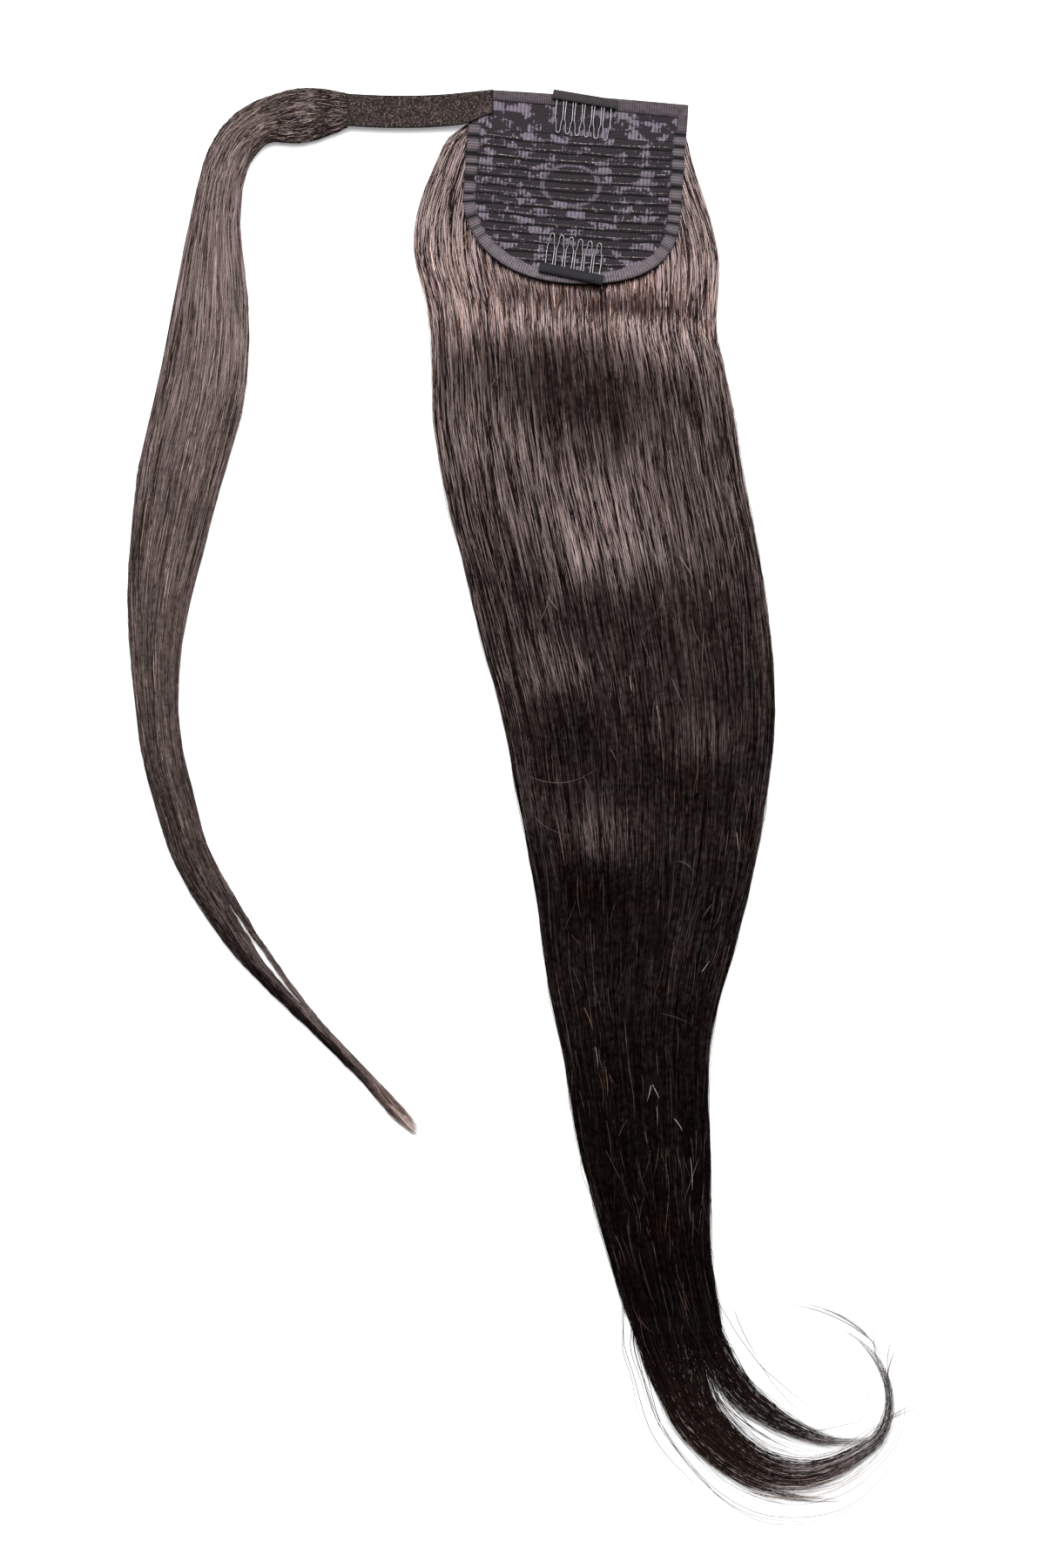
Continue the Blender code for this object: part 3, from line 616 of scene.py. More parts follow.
def in_clumps(random, sides, count):
    """Which clump each strand lies in, the clump's middle and how far out in it the strand is."""
    middles = np.sort(random.uniform(-1, 1, count))
    edges = np.concatenate([[-1.05], (middles[1:] + middles[:-1]) / 2, [1.05]])
    owners = np.clip(np.searchsorted(edges, sides) - 1, 0, count - 1)
    half = (edges[owners + 1] - edges[owners]) / 2
    out = (sides - (edges[owners + 1] + edges[owners]) / 2) / half
    return owners, middles[owners], np.clip(out, -1, 1)


def strand_tones(random, count, kinds, spread):
    """A colour for each strand, drawn from (share, red, green, blue) kinds."""
    shares = np.array([kind[0] for kind in kinds])
    drawn = random.choice(len(kinds), count, p=shares / shares.sum())
    colours = np.array([kind[1:] for kind in kinds])[drawn]
    return colours * np.exp(random.normal(0, spread, count))[:, None]


def tapered(random, count, steps, width=STRAND_WIDTH, blunt=0.06):
    """Widths along each strand, thin at both ends."""
    share = np.linspace(0, 1, steps)[None]
    ends = np.minimum(1, (1 - share) / blunt) ** 0.7 * np.minimum(1, share / 0.03 + 0.3)
    factors = random.uniform(*WIDTH_FACTORS, count)[:, None]
    return width * factors * np.maximum(ends, 0.12)


TAIL_KINDS = (
    # share, red, green, blue
    (0.73, 0.0017, 0.0009, 0.0009),
    (0.16, 0.0048, 0.0025, 0.0022),
    (0.09, 0.0130, 0.0058, 0.0040),
    (0.02, 0.0520, 0.0340, 0.0250),
)
# The wrapping lock's colours are lighter than the tail's; part of that is painted light, standing in
# for the sheen the lock catches
WRAP_KINDS = (
    # share, red, green, blue
    (0.45, 0.0110, 0.0076, 0.0072),
    (0.31, 0.0300, 0.0210, 0.0190),
    (0.17, 0.0620, 0.0420, 0.0360),
    (0.07, 0.1300, 0.0930, 0.0790),
)
# How light the tail's hair is painted along its way, as (share of the way, factor). This is painted
# light: lighter just below the cap, where a highlight falls, and darker towards the tip, where shade
# falls.
TAIL_PAINTED_LIGHT = (
    (0.0, 1.5), (0.09, 2.0), (0.125, 8.0), (0.155, 8.0), (0.19, 2.5), (0.26, 1.7),
    (0.40, 1.1), (0.60, 0.85), (0.75, 0.65), (1.0, 0.65),
)
# The same for the wrapping lock: painted shade darkens the lower part of its way, and it is also
# darker at its root and lighter at its end
WRAP_TONE_AND_PAINTED_SHADE = (
    (0.0, 0.30), (0.10, 0.55), (0.16, 1.0), (0.45, 1.1), (0.60, 0.5), (0.70, 0.15),
    (0.88, 0.2), (0.94, 2.5), (1.0, 6.0),
)


def shaded(tones, along, shades):
    """Tones for every step of the strands, lighter or darker along their way."""
    places, factors = zip(*shades)
    return tones[:, None] * np.interp(along, places, factors)[..., None]


def toward_edges(place):
    """Places from -1 to 1, moved closer together near both ends, where hair turns down."""
    return 0.6 * place + 0.4 * np.sin(np.pi / 2 * place)


# Size and length, in metres, of the wander aside and up, of big clumps, small clumps and strands
DRIFTS = ((0.00025, 0.17), (0.00040, 0.10), (0.00055, 0.07))
LEVELS = ((0.00015, 0.14), (0.00020, 0.10), (0.00010, 0.06))
# The same for the turning of small clumps and strands, in radians
ROLLS = ((CLUMP_ROLL, 0.20), (STRAND_ROLL, 0.22))
# How much clumps draw their strands in, over what share of their way, and the grooves between them
BIG_PULL = 0.10
SMALL_PULL = 0.20
PULL_WAY = 0.7
CLUMP_GROOVE = 0.00012
SIDE_STEP = 0.01


def laid_strands(random, sides, along, length, surface, clumps, layer):
    """Strands that lie on a surface in clumps of two sizes: their paths, the way across and rolls."""
    big, big_middle, big_out = in_clumps(random, sides, clumps[0])
    small, small_middle, small_out = in_clumps(random, sides, clumps[1])
    gather = smooth_step(along / PULL_WAY)
    where = sides[:, None] + BIG_PULL * gather * (big_middle - sides)[:, None]
    where = where + SMALL_PULL * (0.2 + gather) * (small_middle - sides)[:, None]
    where = np.clip(where, -1, 1)
    paths = surface(along, where)
    right = surface(along, np.clip(where + SIDE_STEP, -1, 1))
    left = surface(along, np.clip(where - SIDE_STEP, -1, 1))
    across = unit(right - left)
    places = along * length
    owners = big, small, np.arange(len(sides))
    drift = wander(random, owners, places, DRIFTS)
    level = wander(random, owners, places, LEVELS)
    groove = CLUMP_GROOVE * big_out**4 + CLUMP_GROOVE * small_out**2
    out = np.cross(across, unit(np.gradient(paths, axis=1)))
    out = out * np.where(out[..., 2:] < 0, -1, 1)
    lifted = (level - groove[:, None] - layer[:, None])[..., None]
    paths = paths + across * drift[..., None] + out * lifted
    paths[..., 2] = np.maximum(paths[..., 2], LOWEST_HAIR)
    flat = np.maximum(np.linalg.norm(across[..., :2], axis=-1, keepdims=True), 1e-3)
    tilt = np.clip(across[..., 2:] / flat, -STEEPEST, STEEPEST)
    across = unit(np.concatenate([across[..., :2] / flat, tilt], axis=-1))
    return paths, across, wander(random, owners[1:], places, ROLLS)


# Materials


def feed(tree, node, inputs):
    """Gives inputs of a node their values, or links them to another node's output."""
    for name, value in inputs.items():
        socket = node.inputs[name]
        if isinstance(value, bpy.types.NodeSocket):
            tree.links.new(value, socket)
        else:
            socket.default_value = value


def add_node(tree, kind, inputs, **settings):
    """A new node with its settings and inputs."""
    node = tree.nodes.new("ShaderNode" + kind)
    for name, value in settings.items():
        setattr(node, name, value)
    feed(tree, node, inputs)
    return node


def finish_material(tree, **inputs):
    """Fills in the shader, by the names of its inputs with low lines for spaces."""
    named = {name.replace("_", " "): value for name, value in inputs.items()}
    feed(tree, tree.nodes["Principled BSDF"], named)


def new_material(name):
    """A material and its tree of nodes."""
    made = bpy.data.materials.new(name)
    made.use_nodes = True
    return made, made.node_tree


def object_place(tree):
    """A spot's place in its piece's own frame, in metres."""
    return add_node(tree, "TexCoord", {}).outputs["Object"]


def kept_place(tree):
    """The place kept on the mesh's points, and its three numbers."""
    place = add_node(tree, "Attribute", {}, attribute_name="place").outputs["Vector"]
    return place, add_node(tree, "SeparateXYZ", {"Vector": place}).outputs


def add_noise(tree, vector, scale, detail, roughness=0.5):
    inputs = {"Vector": vector, "Scale": scale, "Detail": detail, "Roughness": roughness}
    return add_node(tree, "TexNoise", inputs).outputs["Fac"]


def add_range(tree, value, low, high, to_low, to_high):
    """The value from low to high, spread over another range."""
    inputs = {"Value": value, "From Min": low, "From Max": high, "To Min": to_low, "To Max": to_high}
    return add_node(tree, "MapRange", inputs).outputs["Result"]


def add_mix(tree, share, first, second):
    """A mix of two colours. Each may be a colour or a node's output."""
    node = add_node(tree, "Mix", {"Factor": share}, data_type="RGBA")
    for name, colour in (("A", first), ("B", second)):
        taken = [found for found in node.inputs if found.name == name and found.type == "RGBA"][0]
        if isinstance(colour, tuple):
            taken.default_value = (*colour, 1.0)
        else:
            tree.links.new(colour, taken)
    return [found for found in node.outputs if found.type == "RGBA"][0]


def add_math(tree, operation, *values):
    """The result of an operation on numbers or other nodes' outputs."""
    return add_node(tree, "Math", dict(enumerate(values)), operation=operation).outputs["Value"]


def add_bump(tree, height, strength, distance):
    inputs = {"Height": height, "Strength": strength, "Distance": distance}
    return add_node(tree, "Bump", inputs).outputs["Normal"]


def add_wave(tree, vector, scale, distortion, direction="X"):
    inputs = {
        "Vector": vector, "Scale": scale, "Distortion": distortion, "Detail": 2.0, "Detail Scale": 2.0,
    }
    return add_node(tree, "TexWave", inputs, bands_direction=direction).outputs["Fac"]


def hair_material(name, scale, roughness, shine):
    """Hair: each strand has its own tone, and shine and tone vary a little along it."""
    made, tree = new_material(name)
    tone = add_node(tree, "Attribute", {}, attribute_name="tone").outputs["Color"]
    noise = add_noise(tree, object_place(tree), scale, 2.0)
    vary = add_range(tree, noise, 0.3, 0.7, 0.65, 1.35)
    scaled = add_node(tree, "VectorMath", {0: tone, "Scale": vary}, operation="SCALE")
    finish_material(
        tree,
        Base_Color=scaled.outputs["Vector"],
        Roughness=add_range(tree, noise, 0.3, 0.7, roughness - 0.05, roughness + 0.05),
        Specular_Tint=(shine, 0.76 * shine, 0.72 * shine, 1.0),
    )
    return made


# Lace: how fine its figures, bars and knit are, and how far its figures jump from pleat to pleat
FIGURE_SCALE = 115.0
PLEAT_JUMP = 0.95
PLEAT_SPAN = 0.50
BAR_SCALE = 190.0
BAR_SHARE = 0.045
KNIT_SCALES = (560.0, 620.0)
FIGURE_EDGE = (0.555, 0.600)
# How far from a pleat's middle its painted shade begins and is full, and how deep it is: the folds are
# darkened in colour where shade falls
FOLD_SHADE = (0.33, 0.46, 0.92)
# Colours, each from the gaps to the threads
GROUND_COLOURS = ((0.006, 0.0045, 0.006), (0.090, 0.073, 0.086))
BAR_COLOURS = ((0.085, 0.070, 0.088), (0.205, 0.172, 0.220))
FIGURE_COLOUR = (0.225, 0.190, 0.240)
# Painted shade: the near-black colour painted into the pleats' folds and the tapes' creases
PAINTED_FOLD_SHADE_COLOUR = (0.002, 0.002, 0.002)
# The round flower in the lace at the cap's middle: its middle, its half width and half depth, how
# far out its rim lies and how wide and strong it is
FLOWER = {
    "x": -0.0010, "depth": 0.0378, "wide": 0.0116, "tall": 0.0082, "rim": 1.12, "rim_half": 0.16,
    "strength": 0.55,
}


def add_flower(tree, parts, figure):
    """Clears the figure inside the flower and draws its rim."""
    squares = []
    for part, middle, half in (("X", "x", "wide"), ("Y", "depth", "tall")):
        off = add_math(tree, "SUBTRACT", parts[part], FLOWER[middle])
        share = add_math(tree, "MULTIPLY", off, 1 / FLOWER[half])
        squares.append(add_math(tree, "MULTIPLY", share, share))
    reach = add_math(tree, "ADD", *squares)
    outside = add_range(tree, reach, 0.75, 0.95, 0.0, 1.0)
    figure = add_math(tree, "MULTIPLY", figure, outside)
    rim = add_math(tree, "COMPARE", reach, FLOWER["rim"], FLOWER["rim_half"])
    return add_math(tree, "MAXIMUM", figure, add_math(tree, "MULTIPLY", rim, FLOWER["strength"]))


def lace_material(name):
    """Charcoal stretch lace: a fine knit with raised lavender-grey figures, cut up by the pleats, with
    painted shade in the pleats' folds.
    """
    made, tree = new_material(name)
    place, parts = kept_place(tree)
    pleat = add_math(tree, "FLOOR", parts["Z"])
    within = add_math(tree, "FRACT", parts["Z"])
    jump = add_math(tree, "MULTIPLY", pleat, PLEAT_JUMP)
    down = add_math(tree, "ADD", jump, add_math(tree, "MULTIPLY", within, PLEAT_SPAN))
    over = add_math(tree, "MULTIPLY", parts["X"], FIGURE_SCALE)
    figured = add_node(tree, "CombineXYZ", {"X": over, "Y": down}).outputs["Vector"]
    bars = add_wave(tree, place, BAR_SCALE, 3.0)
    patches = add_noise(tree, figured, 1.0, 3.0, 0.60)
    figure = add_math(tree, "ADD", patches, add_math(tree, "MULTIPLY", bars, BAR_SHARE))
    figure = add_flower(tree, parts, add_range(tree, figure, *FIGURE_EDGE, 0.0, 1.0))
    knit = add_wave(tree, place, KNIT_SCALES[0], 1.5)
    net = add_math(tree, "MULTIPLY", knit, add_wave(tree, place, KNIT_SCALES[1], 1.5, "Y"))
    fine = add_mix(tree, net, add_mix(tree, bars, *BAR_COLOURS), FIGURE_COLOUR)
    colour = add_mix(tree, figure, add_mix(tree, net, *GROUND_COLOURS), fine)
    # Painted shade: the colour darkens towards each pleat's fold
    fold = add_math(tree, "ABSOLUTE", add_math(tree, "SUBTRACT", within, 0.5))
    shade = add_range(tree, fold, *FOLD_SHADE[:2], 0.0, FOLD_SHADE[2])
    on_ribs = add_math(tree, "GREATER_THAN", parts["Z"], 0.0)
    shade = add_math(tree, "MULTIPLY", shade, on_ribs)
    height = add_math(tree, "ADD", net, add_math(tree, "MULTIPLY", figure, bars))
    finish_material(
        tree,
        Base_Color=add_mix(tree, shade, colour, PAINTED_FOLD_SHADE_COLOUR),
        Roughness=0.8,
        Specular_IOR_Level=0.10,
        Sheen_Weight=0.03,
        Normal=add_bump(tree, height, 0.6, 0.0004),
    )
    return made


def tape_material(name, dark, light, gathers):
    """Satin elastic tape: fine cross ridges, a few wider gathers, a worn, lighter face and painted
    shade in its creases.
    """
    made, tree = new_material(name)
    place, parts = kept_place(tree)
    ridges = add_range(tree, add_wave(tree, place, gathers, 1.2), 0.0, 1.0, 0.45, 1.0)
    stretched = add_node(tree, "Mapping", {"Vector": place, "Scale": (300.0, 900.0, 300.0)})
    worn = add_noise(tree, stretched.outputs["Vector"], 1.0, 3.0)
    both = add_math(tree, "MULTIPLY", ridges, worn)
    face = add_mix(tree, add_range(tree, both, 0.05, 0.55, 0.0, 1.0), dark, light)
    # Painted shade: the colour darkens where the tape is creased
    crease = add_range(tree, parts["Z"], 0.05, 0.55, 0.0, 0.95)
    finish_material(
        tree,
        Base_Color=add_mix(tree, crease, face, PAINTED_FOLD_SHADE_COLOUR),
        Roughness=add_range(tree, worn, 0.3, 0.7, 0.55, 0.80),
        Specular_IOR_Level=0.10,
        Sheen_Weight=0.03,
        Normal=add_bump(tree, both, 0.5, 0.0004),
    )
    return made


def speckled_material(name, dark, light, scale, roughness, sheen):
    """A matt fibrous finish whose tone changes from fibre to fibre."""
    made, tree = new_material(name)
    noise = add_noise(tree, object_place(tree), scale, 4.0, 0.65)
    tone = add_range(tree, noise, 0.35, 0.68, 0.0, 1.0)
    finish_material(
        tree,
        Base_Color=add_mix(tree, tone, dark, light),
        Roughness=add_range(tree, noise, 0.3, 0.7, roughness - 0.08, roughness + 0.08),
        Specular_IOR_Level=0.2,
        Sheen_Weight=sheen,
        Normal=add_bump(tree, noise, 0.4, 0.0003),
    )
    return made


def steel_material(name, dark, light):
    """Spring wire with faint drawing marks."""
    made, tree = new_material(name)
    tone = add_noise(tree, object_place(tree), 900.0, 3.0)
    finish_material(
        tree,
        Base_Color=add_mix(tree, tone, dark, light),
        Roughness=add_range(tree, tone, 0.3, 0.7, 0.34, 0.46),
        Metallic=1.0,
    )
    return made


# The tail


# Where the tail's strands start, beside the cap and below it, and where they end, as shares of
# its length
BESIDE_CAP = 0.5
STARTS_BESIDE = (0.0, 0.012)
STARTS_BELOW = (0.115, 0.135)
TAIL_ENDS = (
    # share of the strands, end
    (0.25, 0.985), (0.45, 0.80), (0.65, 0.70), (0.85, 0.58), (1.0, 0.42),
)
TAIL_END_SPREAD = 0.05
TAIL_CLUMPS = (34, 190)
TAIL_PIECES = 3
# How strongly steps gather at a strand's start, and strands at the top of their layer
TAIL_GATHER = 1.1
LAYER_BIAS = 1.3
TONE_SPREAD = 0.45


def make_tail(finishes):
    random = np.random.default_rng(SEEDS["tail"])
    count = TAIL_STRANDS
    sides = toward_edges(random.uniform(-1, 1, count))
    beside = random.uniform(*STARTS_BESIDE, count)
    below = random.uniform(*STARTS_BELOW, count)
    start = np.where(np.abs(sides) > BESIDE_CAP, beside, below)
    end = np.interp(random.uniform(0.0, 1.0, count), *zip(*TAIL_ENDS))
    end = end - random.uniform(0, TAIL_END_SPREAD, count)
    share = np.linspace(0, 1, TAIL_STEPS)[None] ** TAIL_GATHER
    along = start[:, None] + (end - start)[:, None] * share
    layer = STRAND_LAYER * random.uniform(0, 1, count) ** LAYER_BIAS
    paths, across, rolls = laid_strands(
        random, sides, along, TAIL_LENGTH, tail_surface, TAIL_CLUMPS, layer
    )
    widths = tapered(random, count, TAIL_STEPS)
    tones = shaded(strand_tones(random, count, TAIL_KINDS, TONE_SPREAD), along, TAIL_PAINTED_LIGHT)
    pieces = np.array_split(random.permutation(count), TAIL_PIECES)
    for number, chosen in enumerate(pieces, 1):
        strands = [values[chosen] for values in (paths, across, widths, rolls, tones)]
        add_strands(f"tail_strands_{number}", *strands, "hair", ["tail_hair"], finishes["hair"])
    add_solid("tail_core", tail_core_rings(), ["tail_hair"], finishes["hair_core"])


# The dark body under the tail's strands: the share of the tail's length and of its width that it
# takes, how low it gets at its edges, and its points along, across and under
TAIL_CORE = {"end": 0.985, "side": 0.985, "lowest": 0.0006, "rows": 70, "columns": 33, "foot": 9}


def tail_core_rings():
    """Rings just under the tail's surface, with a flat foot on the table."""
    along = np.linspace(0.0, TAIL_CORE["end"], TAIL_CORE["rows"])[:, None]
    side = toward_edges(np.linspace(-1, 1, TAIL_CORE["columns"])[None]) * TAIL_CORE["side"]
    top = tail_surface(along, side)
    top[..., 2] = np.maximum(top[..., 2] - CORE_DEPTH, TAIL_CORE["lowest"])
    foot = tail_surface(along, np.linspace(HAIR_FOOT, -HAIR_FOOT, TAIL_CORE["foot"])[None])
    foot[..., 2] = 0.0
    return np.concatenate([top, foot], axis=1)


TIP_BROWN = np.array([0.010, 0.0060, 0.0045])
TIP_SHARES = {
    # lock: lowest side, highest side, strands
    "outer": (-0.98, -0.62, 150),
    "main": (-0.75, 0.45, 720),
    "inner": (0.30, 0.98, 330),
}
# Where the tip's strands start before their lock's first row, how much sooner or later they end,
# how far they spread toward the end, and their wander aside as size and length
TIP_STARTS = (-0.55, -0.25)
TIP_LATER = 0.15
TIP_SOONER = (0.88, 1.0)
TIP_SPREAD = 0.25
TIP_WILD_SPREAD = 2.5
TIP_WANDER = (0.0005, 0.05)
TIP_TONE_SPREAD = 0.35


def tip_ends(random, count, rows, places):
    """Where the strands of a lock end, so that they thin out as its rows narrow."""
    widths = np.maximum.accumulate([row[2] for row in rows][::-1])[::-1]
    drawn = random.uniform(0, 1, count)
    end = np.interp(drawn * widths[0], widths[::-1], places[::-1])
    end = np.minimum(end + random.uniform(0, TIP_LATER, count), places[-1])
    return end * random.uniform(*TIP_SOONER, count)


def make_tip(finishes):
    """Strands that leave the tail's body and gather to its three curled locks."""
    random = np.random.default_rng(SEEDS["tip"])
    for name, (low, high, count) in TIP_SHARES.items():
        rows, places = TIP_ROWS[name], TIP_PLACES[name]
        angle, out = random.uniform(0, 2 * np.pi, count), np.sqrt(random.uniform(0, 1, count))
        side, rise = out * np.cos(angle), np.abs(out * np.sin(angle)) * 1.3 - 0.3
        end = tip_ends(random, count, rows, places)
        start = random.uniform(*TIP_STARTS, count)
        share = np.linspace(0, 1, TIP_STEPS)[None]
        place = start[:, None] + (end - start)[:, None] * share
        first = 1 + rows[0][1] * TIP_REACH / TAIL_LENGTH
        in_body = np.repeat((low + (high - low) * (side + 1) / 2)[:, None], TIP_STEPS, 1)
        body = tail_surface(first + place * TIP_REACH / TAIL_LENGTH, in_body)
        layer = STRAND_LAYER * random.uniform(0, 1, count)
        body[..., 2] -= layer[:, None]
        wild = random.uniform(0, 1, count) ** 12
        spread = TIP_SPREAD * random.uniform(0, 1, count) + TIP_WILD_SPREAD * wild
        spread = 1 + spread[:, None] * np.maximum(place, 0) ** 2
        lock = tip_surface(name, place, side[:, None] * spread, rise[:, None])
        mix = smooth_step(place / 0.5)[..., None]
        paths = body * (1 - mix) + lock * mix
        drift = waves(random, np.arange(count), place * TIP_REACH, *TIP_WANDER)
        across, _ = path_frames(paths)
        paths = paths + across * drift[..., None]
        paths[..., 2] = np.maximum(paths[..., 2], LOWEST_HAIR)
        widths = tapered(random, count, TIP_STEPS, STRAND_WIDTH * 0.85, 0.25)
        rolls = random.normal(0, STRAND_ROLL, count)
        tones = strand_tones(random, count, TAIL_KINDS, TIP_TONE_SPREAD)[:, None]
        lighter = smooth_step((place - 0.3) / 0.9)[..., None]
        tones = tones * (1 - lighter) + (tones * 2 + TIP_BROWN) * lighter
        strands = paths, across, widths, rolls, tones
        add_strands(f"tip_{name}_strands", *strands, "hair", ["tail_hair"], finishes["hair"])


# Loose hairs


STRAY_TAN = (0.13, 0.075, 0.047)
STRAY_PALE = (0.34, 0.29, 0.25)
STRAY_GREY = (0.085, 0.070, 0.066)
# Single hairs read off the photograph, as pixels of it: where each starts and ends, how far its
# middle stands off its straight line and, at the curled ends, how high it starts off the table
PHOTO_PIXEL = 0.000375
PHOTO_MIDDLE = 665.7
PHOTO_TOP = 114.3
STRAYS = (
    # x, y, x at the end, y at the end, bow, colour
    (541, 265, 511, 317, 5, STRAY_TAN),
    (537, 269, 520, 302, -3, STRAY_TAN),
    (596, 325, 630, 324, 3, STRAY_TAN),
    (778, 639, 794, 666, 1, STRAY_PALE),
    (797, 587, 802, 596, 0, STRAY_TAN),
    (569, 438, 561, 449, 1, STRAY_GREY),
    (631, 683, 618, 717, 2, STRAY_GREY),
    (629, 685, 642, 703, -1, STRAY_GREY),
    (785, 418, 793, 435, 1, STRAY_TAN),
    (813, 677, 816, 693, 0, STRAY_PALE),
    (780, 663, 800, 700, 3, STRAY_GREY),
    (793, 710, 810, 747, -4, STRAY_GREY),
    (722, 776, 725, 795, 0, STRAY_PALE),
    (753, 810, 757, 830, 0, STRAY_PALE),
    (700, 860, 707, 875, 1, STRAY_GREY),
    (605, 890, 687, 881, -13, STRAY_GREY),
    (613, 937, 663, 959, -6, STRAY_GREY),
    (805, 1115, 814, 1102, 0, STRAY_PALE),
    (807, 1052, 818, 1036, 1, STRAY_GREY),
    (845, 955, 847, 977, 0, STRAY_PALE),
    (777, 988, 795, 1000, 3, STRAY_GREY),
    (757, 1162, 793, 1175, 2, STRAY_GREY),
    (747, 1240, 742, 1263, 1, STRAY_PALE),
    (747, 1240, 757, 1260, 0, STRAY_PALE),
    (752, 1263, 754, 1290, 1, STRAY_PALE),
    (683, 1200, 686, 1225, 1, STRAY_PALE),
    (695, 1227, 697, 1257, 1, STRAY_TAN),
    (773, 1282, 783, 1297, 1, STRAY_PALE),
    (792, 1327, 794, 1365, 1, STRAY_PALE),
    (740, 1297, 743, 1312, 0, STRAY_TAN),
    (670, 1155, 680, 1180, 1, STRAY_TAN),
    (710, 1303, 720, 1283, 1, STRAY_TAN),
)
TIP_HAIRS = (
    # x, y, x at the end, y at the end, bow, height, colour
    (1003, 1540, 899, 1496, -9, 4, STRAY_TAN),
    (1010, 1550, 912, 1494, -12, 5, STRAY_GREY),
    (998, 1535, 925, 1497, -7, 3, STRAY_GREY),
    (1012, 1560, 940, 1502, -13, 5, STRAY_TAN),
    (1018, 1600, 1030, 1545, 4, 5, STRAY_GREY),
    (1022, 1590, 1026, 1530, 5, 4, STRAY_GREY),
    (985, 1655, 1063, 1613, 6, 5, STRAY_GREY),
    (1000, 1652, 1050, 1612, 6, 4, STRAY_TAN),
    (960, 1668, 1040, 1622, 5, 3, STRAY_GREY),
    (870, 1560, 935, 1632, -6, 4, STRAY_GREY),
    (840, 1565, 915, 1650, -10, 3, STRAY_GREY),
    (835, 1585, 920, 1660, -9, 2, STRAY_GREY),
    (826, 1590, 905, 1662, -10, 3, STRAY_TAN),
    (850, 1590, 960, 1665, -8, 2, STRAY_GREY),
    (845, 1575, 940, 1655, -8, 4, STRAY_GREY),
    (822, 1575, 890, 1655, -11, 3, STRAY_GREY),
    (855, 1600, 950, 1662, -7, 3, STRAY_TAN),
    (860, 1585, 965, 1652, -9, 4, STRAY_GREY),
    (790, 1650, 880, 1718, -6, 3, STRAY_GREY),
    (800, 1665, 905, 1728, -7, 2, STRAY_GREY),
    (860, 1712, 985, 1722, -5, 2, STRAY_TAN),
    (842, 1500, 875, 1565, -3, 5, STRAY_GREY),
    (1014, 1580, 1003, 1520, 4, 6, STRAY_TAN),
)
STRAY_STEPS = 9
STRAY_WIDTH = 0.00017
STRAY_LIFT = 0.0004
STRAY_ROLL = math.radians(8)
TIP_HAIR_WIDTH = 1.6
TIP_HAIR_TONE = 0.6
# Short hairs scattered over the tail. Along is a share of its length, and the tail's way is taken
# over step of it. Turn is in radians, bow a share of the hair's own length, tan the share of tan
# ones and tone how light they are.
SHORT_HAIRS = {
    "count": 260, "along": (0.16, 0.97), "side": (-0.9, 0.9), "step": 0.02, "turn": 0.16,
    "length": (0.004, 0.022), "bow": 0.05, "lift": (0.0, 0.0004), "tan": 0.45, "tone": (0.1, 0.75),
}
# Hairs that leave the tail's two edges. Starts and reach are shares of its length, and one in every
# few starts beside the cap. Near the cap they are painted paler, as a painted rim highlight.
EDGE_HAIRS = {
    "count": 170, "starts": (0.02, 0.93), "every": 4, "by_cap": (0.05, 0.20), "reach": (0.02, 0.10),
    "off": 0.0016, "painted_rim_light": (0.30, 0.235, 0.20), "dark": (0.030, 0.018, 0.014), "tone": (0.5, 1.2),
}


def on_tail(x, y):
    """Where a point of the layout lies on the tail: along and side."""
    along = (ROOT_Y - y) / TAIL_LENGTH
    rows = read_shares(TAIL_ROWS, along)
    return along, (x - rows[..., 1] * TAIL_WIDTH) / (rows[..., 2] * TAIL_WIDTH / 2)


def stray_path(x, y, end_x, end_y, bow):
    """A bowed line, seen from above."""
    share = np.linspace(0, 1, STRAY_STEPS)
    length = max(math.hypot(end_x - x, end_y - y), 1e-6)
    off = 4 * bow * share * (1 - share) / length
    across = x + (end_x - x) * share - (end_y - y) * off
    return np.stack([across, y + (end_y - y) * share + (end_x - x) * off], axis=-1)


def photo_hair(x, y, end_x, end_y, bow):
    """The path, seen from above, of a hair read off the photograph."""
    start = (x - PHOTO_MIDDLE) * PHOTO_PIXEL, (PHOTO_TOP - y) * PHOTO_PIXEL
    end = (end_x - PHOTO_MIDDLE) * PHOTO_PIXEL, (PHOTO_TOP - end_y) * PHOTO_PIXEL
    return stray_path(*start, *end, bow * PHOTO_PIXEL)


def short_hair(random):
    """The line, lift and tone of a short hair, laid about along the tail."""
    along, side = random.uniform(*SHORT_HAIRS["along"]), random.uniform(*SHORT_HAIRS["side"])
    x, y = tail_surface(np.array(along), np.array(side))[:2]
    ahead_x, ahead_y = tail_surface(np.array(along + SHORT_HAIRS["step"]), np.array(side))[:2]
    way = math.atan2(ahead_y - y, ahead_x - x) + random.normal(0, SHORT_HAIRS["turn"])
    length = random.uniform(*SHORT_HAIRS["length"])
    end = x + length * math.cos(way), y + length * math.sin(way)
    line = stray_path(x, y, *end, random.normal(0, SHORT_HAIRS["bow"]) * length)
    lift = random.uniform(*SHORT_HAIRS["lift"])
    drawn = STRAY_TAN if random.uniform() < SHORT_HAIRS["tan"] else STRAY_GREY
    return line, lift, np.array(drawn) * random.uniform(*SHORT_HAIRS["tone"]) ** 1.3


